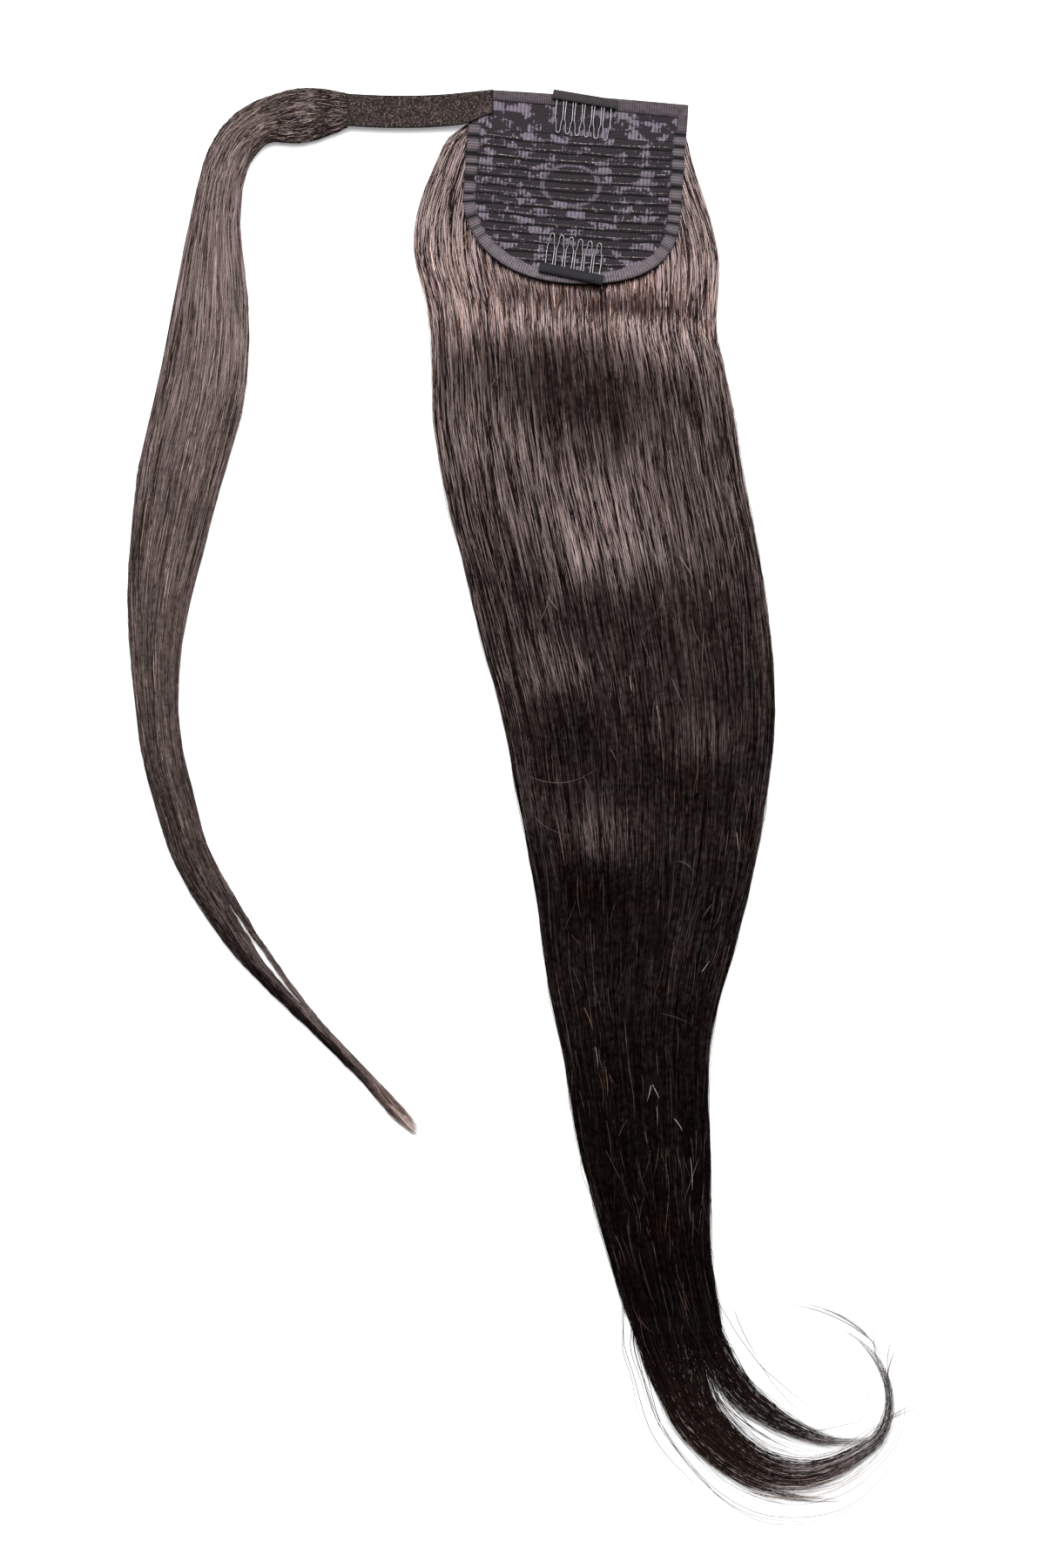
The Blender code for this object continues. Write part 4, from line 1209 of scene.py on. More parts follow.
def make_strays(finishes):
    """Single hairs lying across the tail, short bright ends, and hairs that leave its edges."""
    random = np.random.default_rng(SEEDS["loose hairs"])
    hairs = [(photo_hair(*row[:-1]), STRAY_LIFT, row[-1]) for row in STRAYS]
    hairs += [short_hair(random) for _ in range(SHORT_HAIRS["count"])]
    lines, lifts, tones = (np.array(values) for values in zip(*hairs))
    along, side = on_tail(lines[..., 0], lines[..., 1])
    height = tail_surface(along, np.clip(side, -1, 1))[..., 2]
    rise = lifts[:, None] * np.linspace(0.3, 1.6, STRAY_STEPS)[None]
    paths = np.concatenate([lines, (height + rise)[..., None]], axis=-1)
    tip_paths = []
    for *ends, bow, up, _ in TIP_HAIRS:
        line = photo_hair(*ends, bow)
        tip_paths.append(np.column_stack([line, np.linspace(up, 2, STRAY_STEPS) * PHOTO_PIXEL]))
    tip_tones = [np.array(row[-1]) * TIP_HAIR_TONE for row in TIP_HAIRS]
    edge_paths, edge_tones = edge_hairs(random)
    paths = np.concatenate([paths, edge_paths, tip_paths])
    tones = np.concatenate([tones, edge_tones, tip_tones])
    count = len(paths)
    widths = tapered(random, count, STRAY_STEPS, STRAY_WIDTH, 0.4)
    widths[-len(TIP_HAIRS):] *= TIP_HAIR_WIDTH
    across, _ = path_frames(paths)
    strands = paths, across, widths, random.normal(0, STRAY_ROLL, count), tones
    add_strands("loose_hairs", *strands, "hair", ["tail_hair"], finishes["loose_hair"])


def edge_hairs(random):
    """Hairs that leave the tail's two edges by a little, painted paler beside and just below the cap
    as a rim highlight.
    """
    count = EDGE_HAIRS["count"]
    share = np.linspace(0, 1, STRAY_STEPS)[None]
    hand = np.where(random.uniform(0, 1, count) < 0.5, -1, 1)[:, None]
    start = random.uniform(*EDGE_HAIRS["starts"], count)
    by_cap = random.uniform(*EDGE_HAIRS["by_cap"], count)
    start = np.where(np.arange(count) % EDGE_HAIRS["every"] == 0, by_cap, start)[:, None]
    along = start + random.uniform(*EDGE_HAIRS["reach"], count)[:, None] * share
    on_side = tail_surface(along, np.repeat(hand * 0.99, STRAY_STEPS, 1))
    off = random.uniform(0.0, 1.0, count)[:, None] ** 2 * EDGE_HAIRS["off"]
    x = on_side[..., 0] + hand * (off * np.sin(np.pi * share**0.8))
    z = np.maximum(on_side[..., 2] * random.uniform(0.3, 1.0, count)[:, None], LOWEST_HAIR)
    # Painted highlight: hairs near the cap are mixed toward a pale rim colour
    near_cap = smooth_step((0.24 - start) / 0.08)
    painted_rim_light, dark = np.array(EDGE_HAIRS["painted_rim_light"]), np.array(EDGE_HAIRS["dark"])
    tones = (dark + (painted_rim_light - dark) * near_cap) * random.uniform(*EDGE_HAIRS["tone"], count)[:, None]
    return np.stack([x, on_side[..., 1], z], axis=-1), tones


# The wrapping lock


# A thin lock parts from the wrapping lock's right side for a part of its way. Shares are of the
# lock's way, and core shares of its half width.
SLIT = {
    "width": 0.0020, "start": 0.57, "length": 0.24, "side": 0.66, "back": -0.45, "core_aside": 0.22,
    "core_narrower": 0.36, "foot_narrower": 0.30,
}
WRAP_ENDS = (
    # share of the strands, end
    (0.12, 1.0), (0.3, 0.88), (0.6, 0.78), (1.0, 0.62),
)
WRAP_SOONER = (0.95, 1.0)
WRAP_GATHER = 1.05
WRAP_LAYER = 0.0010
WRAP_CLUMPS = (12, 70)
# Its end fans out from this share of the way on
FAN_START = 0.90
FAN_REACH = 0.015
# How much its strands turn over, as (share of the way, factor)
WRAP_ROLLS = ((0.0, 2.0), (0.10, 1.6), (0.18, 1.0), (0.55, 1.0), (0.75, 0.25))
# How far its strands reach back to the strap's end
ROOT_REACH = GAP + 0.0006
# The dark body under its strands, as for the tail, with its depth and its clearance at its edges
WRAP_CORE = {
    "end": 0.94, "side": 0.98, "depth": 0.0009, "clear": 0.0003, "rows": 70, "columns": 25, "foot": 7,
}


def slit_share(share):
    """How open the slit is at a share of the lock's way."""
    return np.sin(np.pi * np.clip((share - SLIT["start"]) / SLIT["length"], 0, 1))


def wrap_core_rings(full, right):
    """Rings just under the wrapping lock's surface, narrower beside the slit."""
    along = np.linspace(0, full * WRAP_CORE["end"], WRAP_CORE["rows"])[:, None]
    parted = slit_share(along / full)
    aside = right * SLIT["core_aside"] * parted
    side = toward_edges(np.linspace(-1, 1, WRAP_CORE["columns"])[None])
    side = side * (WRAP_CORE["side"] - SLIT["core_narrower"] * parted)
    top = wrap_surface(along, side - aside)
    bottom = wrap_bottom(read_rows(WRAP_ROWS, WRAP_PLACES, along))
    top[..., 2] = np.maximum(top[..., 2] - WRAP_CORE["depth"], bottom + WRAP_CORE["clear"])
    side = np.linspace(HAIR_FOOT, -HAIR_FOOT, WRAP_CORE["foot"])[None]
    side = side * (1 - SLIT["foot_narrower"] * parted)
    foot = wrap_surface(along, side - aside)
    foot[..., 2] = bottom
    return np.concatenate([top, foot], axis=1)


def make_wrap(finishes):
    random = np.random.default_rng(SEEDS["wrap"])
    count = WRAP_STRANDS
    sides = toward_edges(random.uniform(-1, 1, count))
    full = WRAP_PLACES[-1]
    end = full * np.interp(random.uniform(0.0, 1.0, count), *zip(*WRAP_ENDS))
    end = end * random.uniform(*WRAP_SOONER, count)
    along = end[:, None] * np.linspace(0, 1, WRAP_STEPS)[None] ** WRAP_GATHER
    layer = WRAP_LAYER * random.uniform(0, 1, count) ** LAYER_BIAS
    paths, across, rolls = laid_strands(
        random, sides, along, WRAP_DROP, wrap_surface, WRAP_CLUMPS, layer
    )
    right = np.sign(wrap_surface(0.7 * full, 1.0)[0] - wrap_surface(0.7 * full, -1.0)[0])
    aside = np.where(sides * right > SLIT["side"], 1.0, SLIT["back"])[:, None]
    slit = right * SLIT["width"] * aside * slit_share(along / full)
    fan = sides[:, None] * np.maximum(along / full - FAN_START, 0) * FAN_REACH
    fan = fan * random.uniform(0, 1.6, (count, 1))
    paths = paths + across * (slit + fan)[..., None]
    paths[:, 0, 0] += ROOT_REACH
    rolls = rolls * np.interp(along / full, *zip(*WRAP_ROLLS))
    widths = tapered(random, count, WRAP_STEPS, STRAND_WIDTH * 0.9)
    tones = strand_tones(random, count, WRAP_KINDS, TONE_SPREAD)
    strands = paths, across, widths, rolls, shaded(tones, along / full, WRAP_TONE_AND_PAINTED_SHADE)
    add_strands("wrap_strands", *strands, "hair", ["wrap_hair"], finishes["wrap_hair_sheen"])
    rings = wrap_core_rings(full, right)
    add_solid("wrap_core", rings, ["wrap_hair"], finishes["hair_core"])


# The cap


def wavering(random, places, low, high, count):
    """Values at places from 0 to count - 1, between random ones at whole numbers."""
    return np.interp(places, np.arange(count), random.uniform(low, high, count))


def evenly(points, count):
    """Even steps along a line through points, and how far along each of them lies."""
    lengths = np.linalg.norm(np.diff(points, axis=0), axis=1)
    places = np.concatenate([[0], np.cumsum(lengths)])
    wanted = np.linspace(0, places[-1], count)
    return np.stack([np.interp(wanted, places, column) for column in points.T], axis=-1), wanted


def noise_rows(random, rows, columns, knots):
    """A smooth wander over a grid, from random values at knots."""
    values = random.uniform(-1, 1, knots)
    across = np.linspace(0, knots[1] - 1, columns)
    down = np.linspace(0, knots[0] - 1, rows)
    inner = np.array([np.interp(across, np.arange(knots[1]), row) for row in values])
    return np.array([np.interp(down, np.arange(knots[0]), column) for column in inner.T]).T


PANEL_ROWS = 280
PANEL_COLUMNS = 190
PANEL_END = 0.985 * (CAP_DEPTH - PANEL_INSET)
BACK_COLUMNS = 24
# The random wander of the pleats' line, as a share of their pitch, of their height, as a share of
# it, and of the flat band, in metres, each with its knots down and across
LINE_WANDER, LINE_KNOTS = 0.10, (22, 14)
HEIGHT_WANDER, HEIGHT_KNOTS = 0.25, (40, 30)
BAND_WANDER, BAND_KNOTS = 0.0002, (12, 16)
# How much the pleats rise over the part's own, how flat they are at the sides, and over what
# widths they begin below the band and at the sides
PLEAT_GAIN = 1.15
PLEAT_AT_SIDE = 0.35
BAND_FADE = 0.002
SIDE_FADE = 0.006


def panel_place(depth, across):
    """The cap's x at a share from -1 to 1 of its width at a depth."""
    left = half_width(depth, LEFT_ROUNDNESS, PANEL_INSET)
    right = half_width(depth, RIGHT_ROUNDNESS, PANEL_INSET)
    return np.where(across < 0, left, right) * across


def rib_sag(depth, across):
    """How far the pleats sag between the cap's sides."""
    middle = (depth - PANEL_INSET) * (PANEL_END - depth) * 4 / PANEL_END**2
    share = (across + 1) / 2
    return RIB_SAG * middle * 4 * share * (1 - share)


def rib_height(phase):
    """Height of a pleat over one pitch, rounded on top and dropping into a tight fold."""
    share = phase - np.floor(phase)
    return 1.25 * np.sin(np.pi * share**0.8) ** 0.45 - 0.25


def make_panel(finishes):
    random = np.random.default_rng(SEEDS["panel"])
    size = PANEL_ROWS, PANEL_COLUMNS
    depth = np.linspace(PANEL_INSET, PANEL_END, PANEL_ROWS)[:, None]
    across = np.linspace(-1, 1, PANEL_COLUMNS)[None]
    x = panel_place(depth, across)
    phase = (depth - BAND_DEPTH) / RIB_PITCH + LINE_WANDER * noise_rows(random, *size, LINE_KNOTS)
    on_ribs = smooth_step((depth - BAND_DEPTH + BAND_FADE / 2) / BAND_FADE)
    uneven = 1 + HEIGHT_WANDER * noise_rows(random, *size, HEIGHT_KNOTS)
    edge = smooth_step((1 - np.abs(across)) * x.max() / SIDE_FADE)
    fade = PLEAT_AT_SIDE + (1 - PLEAT_AT_SIDE) * edge
    ridge = RIB_RELIEF * PLEAT_GAIN * rib_height(phase) * on_ribs * uneven * fade
    loose = BAND_WANDER * noise_rows(random, *size, BAND_KNOTS) * (1 - on_ribs)
    top = raised(x, depth + rib_sag(depth, across), PANEL_THICKNESS / 2 + ridge + loose)
    top_places = np.stack(np.broadcast_arrays(x, depth, phase), axis=-1)
    back = np.linspace(1, -1, BACK_COLUMNS)[None]
    back_x = panel_place(depth, back)
    under = raised(back_x, depth + rib_sag(depth, back), -PANEL_THICKNESS / 2)
    under_places = np.stack(np.broadcast_arrays(back_x, depth, 0.0), axis=-1)
    rings = np.concatenate([top, under], axis=1)
    places = np.concatenate([top_places, under_places], axis=1)
    add_solid("lace_panel", rings, ["cap_panel"], finishes["lace"], places)


# Stitches in metres, with how unevenly they stand along their row, how they lean and how far the
# row itself wanders
STITCH_PITCH = 0.00085
STITCH_LENGTH = 0.00058
STITCH_WIDTH = 0.00026
STITCH_RISE = 0.00012
STITCH_JITTER = 0.00008
STITCH_LEAN = (0.25, 0.15)
ROW_WANDER = 0.0003
STITCH_KINDS = (
    # share, red, green, blue
    (0.30, 0.040, 0.037, 0.038),
    (0.40, 0.140, 0.130, 0.130),
    (0.30, 0.260, 0.240, 0.230),
)


def make_stitches(finishes):
    """Rows of short raised stitches, one row along each pleat."""
    random = np.random.default_rng(SEEDS["stitches"])
    ribs = int((0.93 * CAP_DEPTH - BAND_DEPTH) / RIB_PITCH)
    paths, ways = [], []
    for rib in range(ribs):
        depth = BAND_DEPTH + (rib + 0.72) * RIB_PITCH
        right = panel_place(np.array([depth]), np.array([1.0]))[0] - EDGE_TAPE_WIDTH
        left = panel_place(np.array([depth]), np.array([-1.0]))[0] + EDGE_TAPE_WIDTH
        count = int((right - left) / STITCH_PITCH)
        x = np.linspace(left, right, count) + random.normal(0, STITCH_JITTER, count)
        wander = ROW_WANDER * wavering(random, np.linspace(0, 9, count), -1, 1, 10)
        lean = random.normal(*STITCH_LEAN, count)
        arc = np.linspace(-1, 1, 4)[None]
        reach = STITCH_LENGTH / 2 * arc
        x, wander, lean = x[:, None], wander[:, None], lean[:, None]
        down = depth + wander + lean * reach + rib_sag(depth, x / right)
        up = PANEL_THICKNESS / 2 + RIB_RELIEF * 1.05 + STITCH_RISE * (1 - arc**2)
        paths.append(raised(x + reach, down, up))
        ways.append(raised(x, down + 0.001, up) - raised(x, down, up))
    paths, ways = np.concatenate(paths), np.concatenate(ways)
    count, steps = paths.shape[:2]
    widths = np.full((count, steps), STITCH_WIDTH) * random.uniform(0.7, 1.2, count)[:, None]
    strands = paths, ways, widths, np.zeros(count), strand_tones(random, count, STITCH_KINDS, 0.3)
    add_strands("rib_stitches", *strands, "lace", ["cap_panel"], finishes["strap_loops"])


def outline_path(left_start, right_start, count):
    """The cap's outline as x and depth, down its left side, round its bottom and up its right."""
    half = CAP_WIDTH / 2
    corner = []
    for side, roundness in ((-1, LEFT_ROUNDNESS), (1, RIGHT_ROUNDNESS)):
        angle = np.linspace(0, np.pi / 2, 200)
        x = side * half * np.maximum(np.cos(angle), 0) ** (2 / CORNER_ROUNDNESS)
        depth = STRAIGHT_SIDE + (CAP_DEPTH - STRAIGHT_SIDE) * np.sin(angle) ** (2 / roundness)
        corner.append(np.stack([x, depth], axis=-1))
    start = np.array([[-half, left_start]])
    end = np.array([[half, right_start]])
    return evenly(np.concatenate([start, corner[0], corner[1][-2::-1], end]), count)


TAPE_SOFT = 0.0007
TAPE_CREASE = 60.0
TAPE_ROUND = 0.012


def tape_section(width, puff):
    """Rounded section of a tape folded over the panel's edge: how far in, and how high."""
    half, slot, soft = TAPE_THICKNESS / 2, PANEL_THICKNESS / 2 + GAP, TAPE_SOFT
    outline = (
        # inward, up, share of the puff
        (TAPE_WALL, slot, 0.0),
        (TAPE_WALL, -slot, 0.0),
        (width, -slot, 0.0),
        (width, -half * 0.9, 0.0),
        (width * 0.5, -half, 0.0),
        (soft, -half, 0.0),
        (0.2 * soft, -half + 0.6 * soft, 0.0),
        (0.0, 0.0, 0.0),
        (0.2 * soft, half - 0.6 * soft, 0.3),
        (soft, half, 0.6),
        (width * 0.30, half, 0.9),
        (width * 0.50, half, 1.0),
        (width * 0.70, half, 0.9),
        (width * 0.88, half - 0.0003, 0.5),
        (width, half - 0.0009, 0.1),
        (width, slot, 0.0),
    )
    return [(inward, up + puff * share) for inward, up, share in outline]


def tape_rings(path, outward, widths, puffs):
    rings = []
    for (x, depth), out, width, puff in zip(path, outward, widths, puffs):
        inward, up = np.array(tape_section(width, puff)).T
        rings.append(raised(x - out[0] * inward, depth - out[1] * inward, up))
    return np.array(rings)


def add_tape(name, rings, along, creases, node, finish):
    """A tape through rings. Its kept place is how far along it, how far round and how creased."""
    around = np.linspace(0, TAPE_ROUND, rings.shape[1])
    places = np.stack(np.broadcast_arrays(along[:, None], around[None], creases[:, None]), axis=-1)
    add_solid(name, rings, [node], finish, places, TAPE_CREASE)


EDGE_STEPS = 420
# The edge tape's puffs between its folds: their pitch, how far they shift as a share of it, and
# how large they are, each with the number of its random values
PUFF_PITCH = 0.0058
PUFF_SHIFTS = {"share": 0.35, "count": 41}
PUFF_SIZES = {"low": 0.7, "high": 1.2, "count": 46}


def make_edge_tape(finishes):
    random = np.random.default_rng(SEEDS["edge tape"])
    left_start, right_start = STRAP_WIDTH + STRAP_TAPE_CLEARANCE, TOP_TAPE_RETURN + GAP
    path, along = outline_path(left_start, right_start, EDGE_STEPS)
    run = unit(np.gradient(path, axis=0))
    outward = np.stack([-run[:, 1], run[:, 0]], axis=-1)
    on_side = smooth_step((CAP_DEPTH - path[:, 1]) / (CAP_DEPTH - STRAIGHT_SIDE))
    share = along / along[-1]
    count = PUFF_SHIFTS["count"]
    shift = wavering(random, share * (count - 1), -1, 1, count)
    pad = np.abs(np.sin(np.pi * (along / PUFF_PITCH + PUFF_SHIFTS["share"] * shift))) ** 0.45
    count = PUFF_SIZES["count"]
    size = wavering(random, share * (count - 1), PUFF_SIZES["low"], PUFF_SIZES["high"], count)
    puffs = EDGE_TAPE_PUFF * (1.9 * on_side * (pad * size - 0.55) + 0.3)
    widths = EDGE_TAPE_WIDTH * (1 + 0.28 * on_side * (pad - 0.75))
    rings = tape_rings(path, outward, widths, puffs)
    # How creased the tape is between its puffs, which its material paints as shade
    creases = on_side * (1 - pad) ** 0.8
    add_tape("edge_binding", rings, along, creases, "edge_tape", finishes["edge_satin"])


# The top tape's steps along the cap's top and down its turned end, and its fine ridges
TOP_STEPS = 170
RETURN_STEPS = 30
STRAP_CLEARANCE = 0.0012
RETURN_START = 0.0008
TOP_RIDGE = {"height": 0.00012, "pitch": 0.0021}


def make_top_tape(finishes):
    half = CAP_WIDTH / 2
    start = STRAP_OVERLAP - STRAP_CLEARANCE - half
    straight = np.linspace(start, half, TOP_STEPS)
    down = np.linspace(RETURN_START, TOP_TAPE_RETURN, RETURN_STEPS)
    path = np.array([(x, 0.0) for x in straight] + [(half, depth) for depth in down])
    outward = np.array([(0.0, -1.0)] * (TOP_STEPS - 1) + [(1.0, -1.0)] + [(1.0, 0.0)] * RETURN_STEPS)
    share = np.clip((path[:, 0] - start) / (half - start), 0, 1)
    widths = TOP_TAPE_WIDTH + TOP_TAPE_FLARE * share
    widths[TOP_STEPS:] = TOP_TAPE_WIDTH
    along = np.concatenate([straight - start, half - start + down])
    puffs = TOP_RIDGE["height"] * np.sin(along * 2 * np.pi / TOP_RIDGE["pitch"])
    rings = tape_rings(path, outward, widths, puffs)
    add_tape("top_binding", rings, along, 0 * along, "top_tape", finishes["top_satin"])


def strap_middle(share):
    x, y = STRAP_START
    return x - STRAP_LENGTH * share, y - STRAP_DIP * np.sin(math.pi * 0.8 * share)


def strap_surface(share, side):
    """Points on top of the strap, at a side from -1, its lower edge, to 1."""
    x, y = strap_middle(share)
    half = STRAP_WIDTH / 2
    sewn = 1 - smooth_step(share * STRAP_LENGTH / (1.4 * STRAP_OVERLAP))
    low = STRAP_TUCK * sewn - half
    place = np.where(side < 0, -side * low, side * half)
    lying = panel_height(*on_cap(x, y + place)) + PANEL_THICKNESS / 2 + GAP + STRAP_THICKNESS / 2
    left_cap = smooth_step((share * STRAP_LENGTH - STRAP_OVERLAP) / (0.4 * STRAP_LENGTH))
    middle = lying + (STRAP_END_HEIGHT - lying) * left_cap
    thick = STRAP_THICKNESS / 2
    edge = (half * (1 - np.abs(side))) / STRAP_EDGE
    up = thick * (0.45 + 0.4 * smooth_step(edge))
    return np.stack(np.broadcast_arrays(x, y + place, middle + up), axis=-1), middle


STRAP_ROWS = 150
STRAP_COLUMNS = 28
STRAP_ROUGHNESS = 0.00008


def make_strap(finishes):
    random = np.random.default_rng(SEEDS["strap"])
    share = np.linspace(0, 1, STRAP_ROWS)[:, None]
    side = np.linspace(-1, 1, STRAP_COLUMNS)[None]
    top, middle = strap_surface(share, side)
    top[..., 2] += STRAP_ROUGHNESS * random.uniform(-1, 1, top.shape[:2])
    under = top[:, ::-1].copy()
    under[..., 2] = middle[:, ::-1] - STRAP_THICKNESS / 2
    rings = np.concatenate([top, under], axis=1)
    add_solid("strap_band", rings, ["wrap_strap"], finishes["strap_weave"])
    make_pile(random, finishes["strap_loops"])


# The strap's pile: how many loops, their steps, and their width, reach, rise and depth in metres
PILE = {
    "loops": 5000, "steps": 4, "width": 0.00013, "reach": (0.0004, 0.0011), "rise": (0.00015, 0.00045),
    "sunk": 0.00003,
}
PILE_KINDS = (
    # share, red, green, blue
    (0.55, 0.004, 0.003, 0.003),
    (0.27, 0.050, 0.034, 0.031),
    (0.18, 0.160, 0.115, 0.105),
)


def make_pile(random, finish):
    """Small loops lying every way on the strap."""
    count, steps = PILE["loops"], PILE["steps"]
    share, side = random.uniform(0.01, 0.99, count), random.uniform(-0.93, 0.93, count)
    base = strap_surface(share, side)[0][:, None]
    angle = random.uniform(0, 2 * np.pi, count)[:, None]
    reach = random.uniform(*PILE["reach"], count)[:, None]
    rise = random.uniform(*PILE["rise"], count)[:, None]
    arc = np.linspace(0, 1, steps)[None]
    x = base[..., 0] + np.cos(angle) * reach * (arc - 0.5)
    y = base[..., 1] + np.sin(angle) * reach * (arc - 0.5)
    z = base[..., 2] + rise * np.sin(np.pi * arc) - PILE["sunk"]
    paths = np.stack([x, y, z], axis=-1)
    widths = np.full((count, steps), PILE["width"])
    tones = strand_tones(random, count, PILE_KINDS, 0.3)
    across = np.stack([-np.sin(angle), np.cos(angle), 0 * angle], axis=-1)
    strands = paths, np.broadcast_to(across, paths.shape), widths, np.zeros(count), tones
    add_strands("strap_pile", *strands, "strap", ["wrap_strap"], finish)


def comb_frame(comb):
    """Origin and axes of a comb: under its sleeve's middle, along it, away from the teeth and up."""
    x, depth = comb["x"], comb["depth"]
    step = SLEEVE_LENGTH / 2
    origin = raised(x, depth, TAPE_THICKNESS / 2 + GAP)
    across = raised(x + step, depth, 0.0) - raised(x - step, depth, 0.0)
    down = raised(x, depth + step, 0.0) - raised(x, depth - step, 0.0)
    up = unit(np.cross(down, across))
    across = unit(across)
    back = np.cross(up, across)
    cos, sin = math.cos(comb["turn"]), math.sin(comb["turn"])
    return origin, np.array([across * cos + back * sin, back * cos - across * sin, up])


def in_comb(comb, points):
    origin, axes = comb_frame(comb)
    return origin + points @ axes


# The wire's steps along and round, and how often its bends are softened
WIRE_STEPS = 620
WIRE_SIDES = 10
WIRE_SOFTENING = 4


def comb_route():
    """The one bent wire of a comb, in the comb's frame."""
    inside = SLEEVE_WIDTH / 2 - SLEEVE_WALL - GAP - WIRE / 2
    outline = (
        # share of the tooth's length, half width, share of its dip
        (0.00, TOOTH_SPREAD / 2 - WIRE / 4, 0.0),
        (0.35, TOOTH_SPREAD / 2, -0.25),
        (0.58, TOOTH_SPREAD / 2, 0.1),
        (0.68, TOOTH_SPREAD / 2 - WIRE, 0.35),
        (0.88, TOOTH_TIP / 2, 0.8),
        (0.96, TOOTH_TIP / 2 * 0.8, 0.95),
        (1.00, TOOTH_TIP / 2 * 0.3, 1.0),
    )
    points = []
    for tooth in range(COMB_TEETH):
        middle = (tooth - (COMB_TEETH - 1) / 2) * TOOTH_PITCH
        points.append((middle - TOOTH_SPREAD / 2, inside, 0.0))
        both = [(-wide, length, dip) for length, wide, dip in outline]
        both += [(wide, length, dip) for length, wide, dip in reversed(outline)]
        for x, length, dip in both:
            lean = math.tan(COMB_LEAN) * length * TOOTH_LENGTH
            out = SLEEVE_WIDTH / 2 + length * TOOTH_LENGTH
            points.append((middle + x + lean, -out, -TOOTH_DIP * dip))
        points.append((middle + TOOTH_SPREAD / 2, inside, 0.0))
    route, _ = evenly(np.array(points) + (0.0, 0.0, SLEEVE_THICKNESS / 2), WIRE_STEPS)
    for _ in range(WIRE_SOFTENING):
        route[1:-1] = (route[:-2] + 2 * route[1:-1] + route[2:]) / 4
    return route


def make_comb(name, finishes):
    rings = tube(in_comb(COMBS[name], comb_route()), WIRE / 2, WIRE_SIDES)
    add_solid(f"{name}_comb_teeth", rings, [f"{name}_comb_wire"], finishes["steel"])


# A sleeve's steps along it, its soft corners and the ridges across it
SLEEVE_STEPS = 90
SLEEVE_SOFT = 0.0006
SLEEVE_RIDGE = {"height": 0.00007, "pitch": 0.0011}
# Its sewn ends are flatter, over this length and by this share
SLEEVE_END = 0.001
SLEEVE_FLAT = 0.25


def make_sleeve(name, finishes):
    """The folded tape over a comb's back, with soft corners, ribs across and sewn ends."""
    half, soft = SLEEVE_THICKNESS / 2, SLEEVE_SOFT
    back, front = SLEEVE_WIDTH / 2, -SLEEVE_WIDTH / 2
    section = (
        # toward the back, up
        (front, half - WIRE / 2 - GAP),
        (front, 0.0004),
        (front + soft, 0.0),
        (back - soft, 0.0),
        (back, soft),
        (back + 0.0001, half),
        (back, 2 * half - soft),
        (back - soft, 2 * half - 0.0001),
        (0.3 * back, 2 * half + 0.0001),
        (0.3 * front, 2 * half + 0.0001),
        (front + soft, 2 * half - 0.0001),
        (front, 2 * half - 0.0005),
        (front, half + WIRE / 2 + GAP),
        (back - SLEEVE_WALL, half + WIRE / 2 + GAP),
        (back - SLEEVE_WALL, half - WIRE / 2 - GAP),
    )
    along = np.linspace(-SLEEVE_LENGTH / 2, SLEEVE_LENGTH / 2, SLEEVE_STEPS)
    ripple = SLEEVE_RIDGE["height"] * np.sin(along * 2 * np.pi / SLEEVE_RIDGE["pitch"])
    past = np.abs(along) - SLEEVE_LENGTH / 2 + SLEEVE_END
    ends = 1 - SLEEVE_FLAT * np.clip(past / SLEEVE_END, 0, 1)
    rings = []
    for x, wave, end in zip(along, ripple, ends):
        rings.append([(x, y, half + (z - half) * end + wave * (z > half)) for y, z in section])
    rings = in_comb(COMBS[name], np.array(rings))
    node = f"{name}_comb_sleeve"
    add_tape(f"{node}_tape", rings, along + 0.02, 0 * along, node, finishes[f"{name}_sleeve_tape"])


# Studio


# The floor reaches this far each way, and lies this far below the part
FLOOR_HALF = 6
FLOOR_DROP = 0.0003
FLOOR_GLOW = 0.30
PAPER_COLOURS = ((0.86, 0.86, 0.86), (0.90, 0.90, 0.90))


def make_stage():
    floor = bpy.data.meshes.new("floor")
    far = FLOOR_HALF
    corners = [(-far, -far, 0), (far, -far, 0), (far, far, 0), (-far, far, 0)]
    floor.from_pydata(corners, [], [(0, 1, 2, 3)])
    piece = bpy.data.objects.new("floor", floor)
    bpy.context.scene.collection.objects.link(piece)
    piece.location.z = -FLOOR_DROP
    made, tree = new_material("paper")
    noise = add_noise(tree, object_place(tree), 60.0, 2.0)
    finish_material(
        tree,
        Base_Color=add_mix(tree, noise, *PAPER_COLOURS),
        Roughness=0.9,
        Specular_IOR_Level=0.1,
        Emission_Color=(1.0, 1.0, 1.0, 1.0),
        Emission_Strength=FLOOR_GLOW,
    )
    floor.materials.append(made)


SOFTBOX_HEIGHT = 1.65
# The sky's glow: from this height share to that, from this strength to that
SKY_GLOW = (0.05, 0.30, 0.60, 0.015)
SOFTBOXES = (
    # name, width, nearest y, farthest y, radiance
    ("key", 1.30, 0.42, 1.22, 17.5),
    ("fill", 1.30, 0.18, 0.42, 9.0),
)


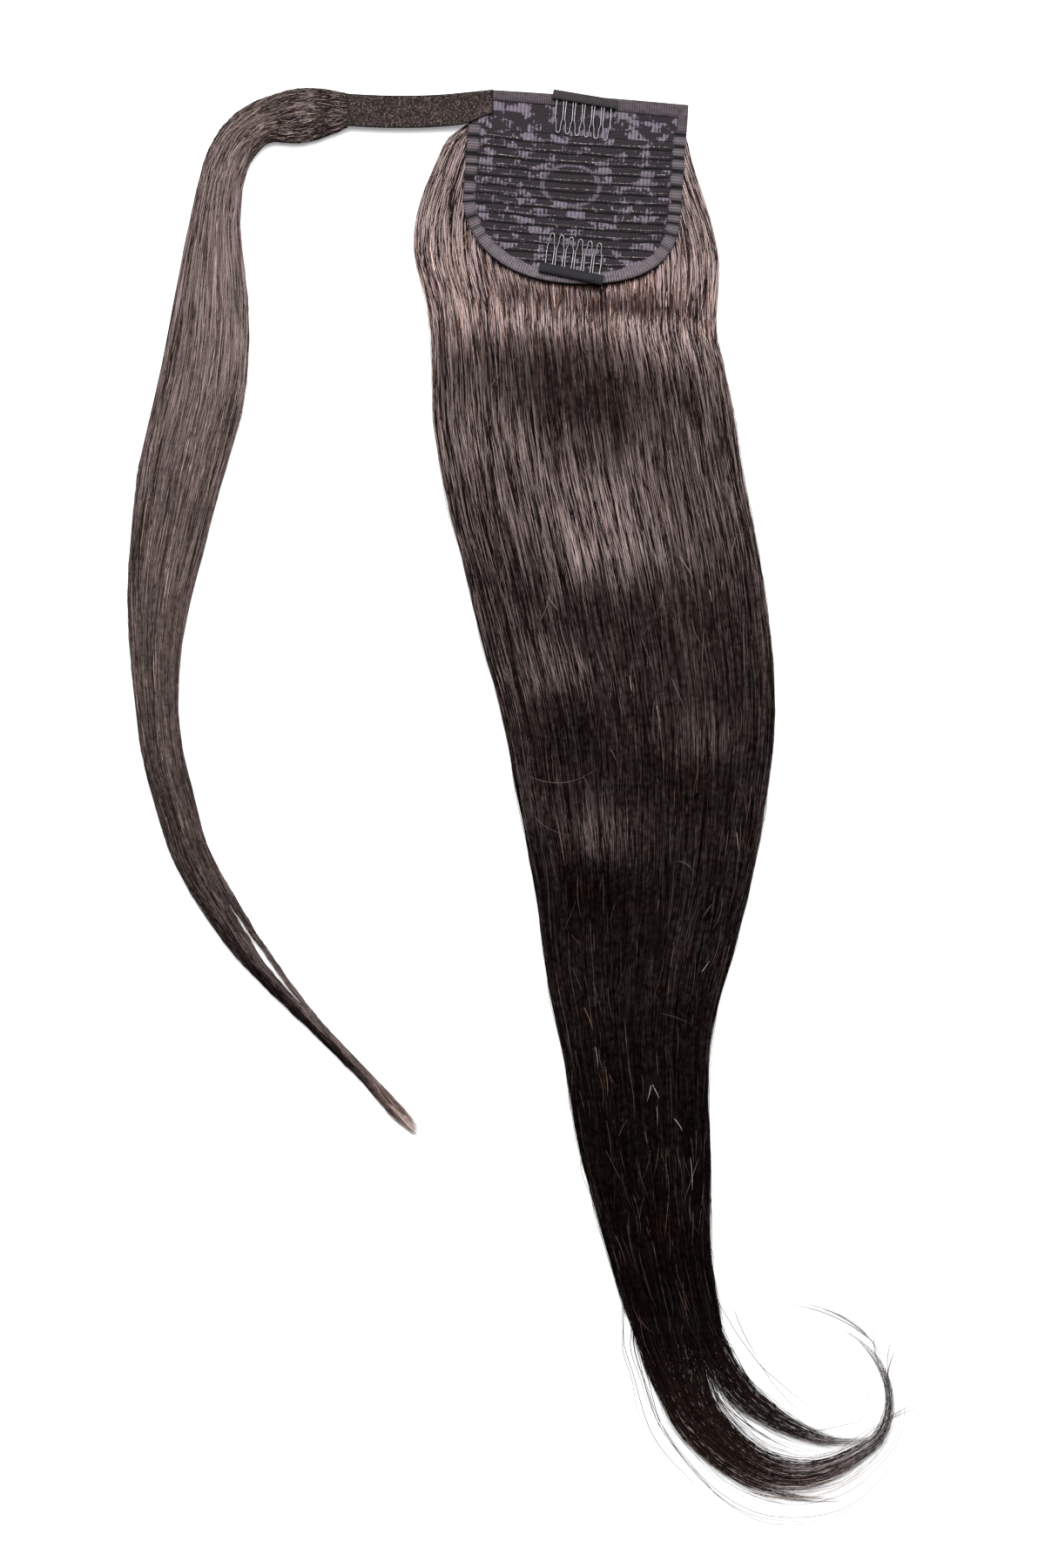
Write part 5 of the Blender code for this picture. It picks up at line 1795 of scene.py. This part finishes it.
def make_lights():
    for name, width, nearest, farthest, radiance in SOFTBOXES:
        lamp = bpy.data.lights.new(name, "AREA")
        lamp.shape = "RECTANGLE"
        lamp.size, lamp.size_y = width, farthest - nearest
        lamp.energy = radiance * math.pi * lamp.size * lamp.size_y
        box = bpy.data.objects.new(name, lamp)
        box.location = (0.0, (nearest + farthest) / 2, SOFTBOX_HEIGHT)
        box.visible_camera = False
        bpy.context.scene.collection.objects.link(box)
    world = bpy.data.worlds.new("studio")
    bpy.context.scene.world = world
    world.use_nodes = True
    tree = world.node_tree
    where = add_node(tree, "TexCoord", {}).outputs["Generated"]
    height = add_node(tree, "SeparateXYZ", {"Vector": where}).outputs["Z"]
    feed(tree, tree.nodes["Background"], {"Strength": add_range(tree, height, *SKY_GLOW)})


# The camera looks straight down from here in the layout's frame
CAMERA_PLACE = np.array([-0.02461, -0.29463, 1.594])
LENS = 85.0
SENSOR_WIDTH = 36.0


def make_camera():
    camera = bpy.data.cameras.new("camera")
    camera.lens = LENS
    camera.sensor_width = SENSOR_WIDTH
    piece = bpy.data.objects.new("camera", camera)
    piece.location = CAMERA_PLACE + SHIFT
    bpy.context.scene.collection.objects.link(piece)
    bpy.context.scene.camera = piece
    bpy.context.scene.view_settings.view_transform = "Standard"


# Finishes of the pieces, by kind
HAIR_FINISHES = (
    # name, scale, roughness, shine
    ("hair", 420.0, 0.22, 1.0),
    ("wrap_hair_sheen", 420.0, 0.27, 0.72),
    ("loose_hair", 420.0, 0.40, 0.8),
    ("strap_loops", 900.0, 0.55, 1.0),
)
SPECKLED_FINISHES = (
    # name, dark, light, scale, roughness, sheen
    ("hair_core", (0.0015, 0.001, 0.001), (0.004, 0.003, 0.0025), 700.0, 0.7, 0.0),
    ("strap_weave", (0.002, 0.0015, 0.0015), (0.014, 0.010, 0.009), 900.0, 0.9, 0.1),
)
TAPE_FINISHES = (
    # name, dark, light, gathers
    ("edge_satin", (0.011, 0.008, 0.010), (0.165, 0.138, 0.155), 260.0),
    ("top_satin", (0.010, 0.007, 0.009), (0.085, 0.069, 0.077), 300.0),
    ("top_sleeve_tape", (0.008, 0.007, 0.008), (0.042, 0.037, 0.040), 320.0),
    ("bottom_sleeve_tape", (0.005, 0.005, 0.006), (0.024, 0.022, 0.025), 320.0),
)
STEEL_COLOURS = ((0.155, 0.150, 0.157), (0.260, 0.250, 0.262))

make_camera()
make_stage()
make_lights()
finishes = {"lace": lace_material("lace"), "steel": steel_material("steel", *STEEL_COLOURS)}
finishes |= {row[0]: hair_material(*row) for row in HAIR_FINISHES}
finishes |= {row[0]: speckled_material(*row) for row in SPECKLED_FINISHES}
finishes |= {row[0]: tape_material(*row) for row in TAPE_FINISHES}
make_tail(finishes)
make_tip(finishes)
make_strays(finishes)
make_wrap(finishes)
make_panel(finishes)
make_stitches(finishes)
make_edge_tape(finishes)
make_top_tape(finishes)
make_strap(finishes)
for comb_name in COMBS:
    make_comb(comb_name, finishes)
for comb_name in COMBS:
    make_sleeve(comb_name, finishes)
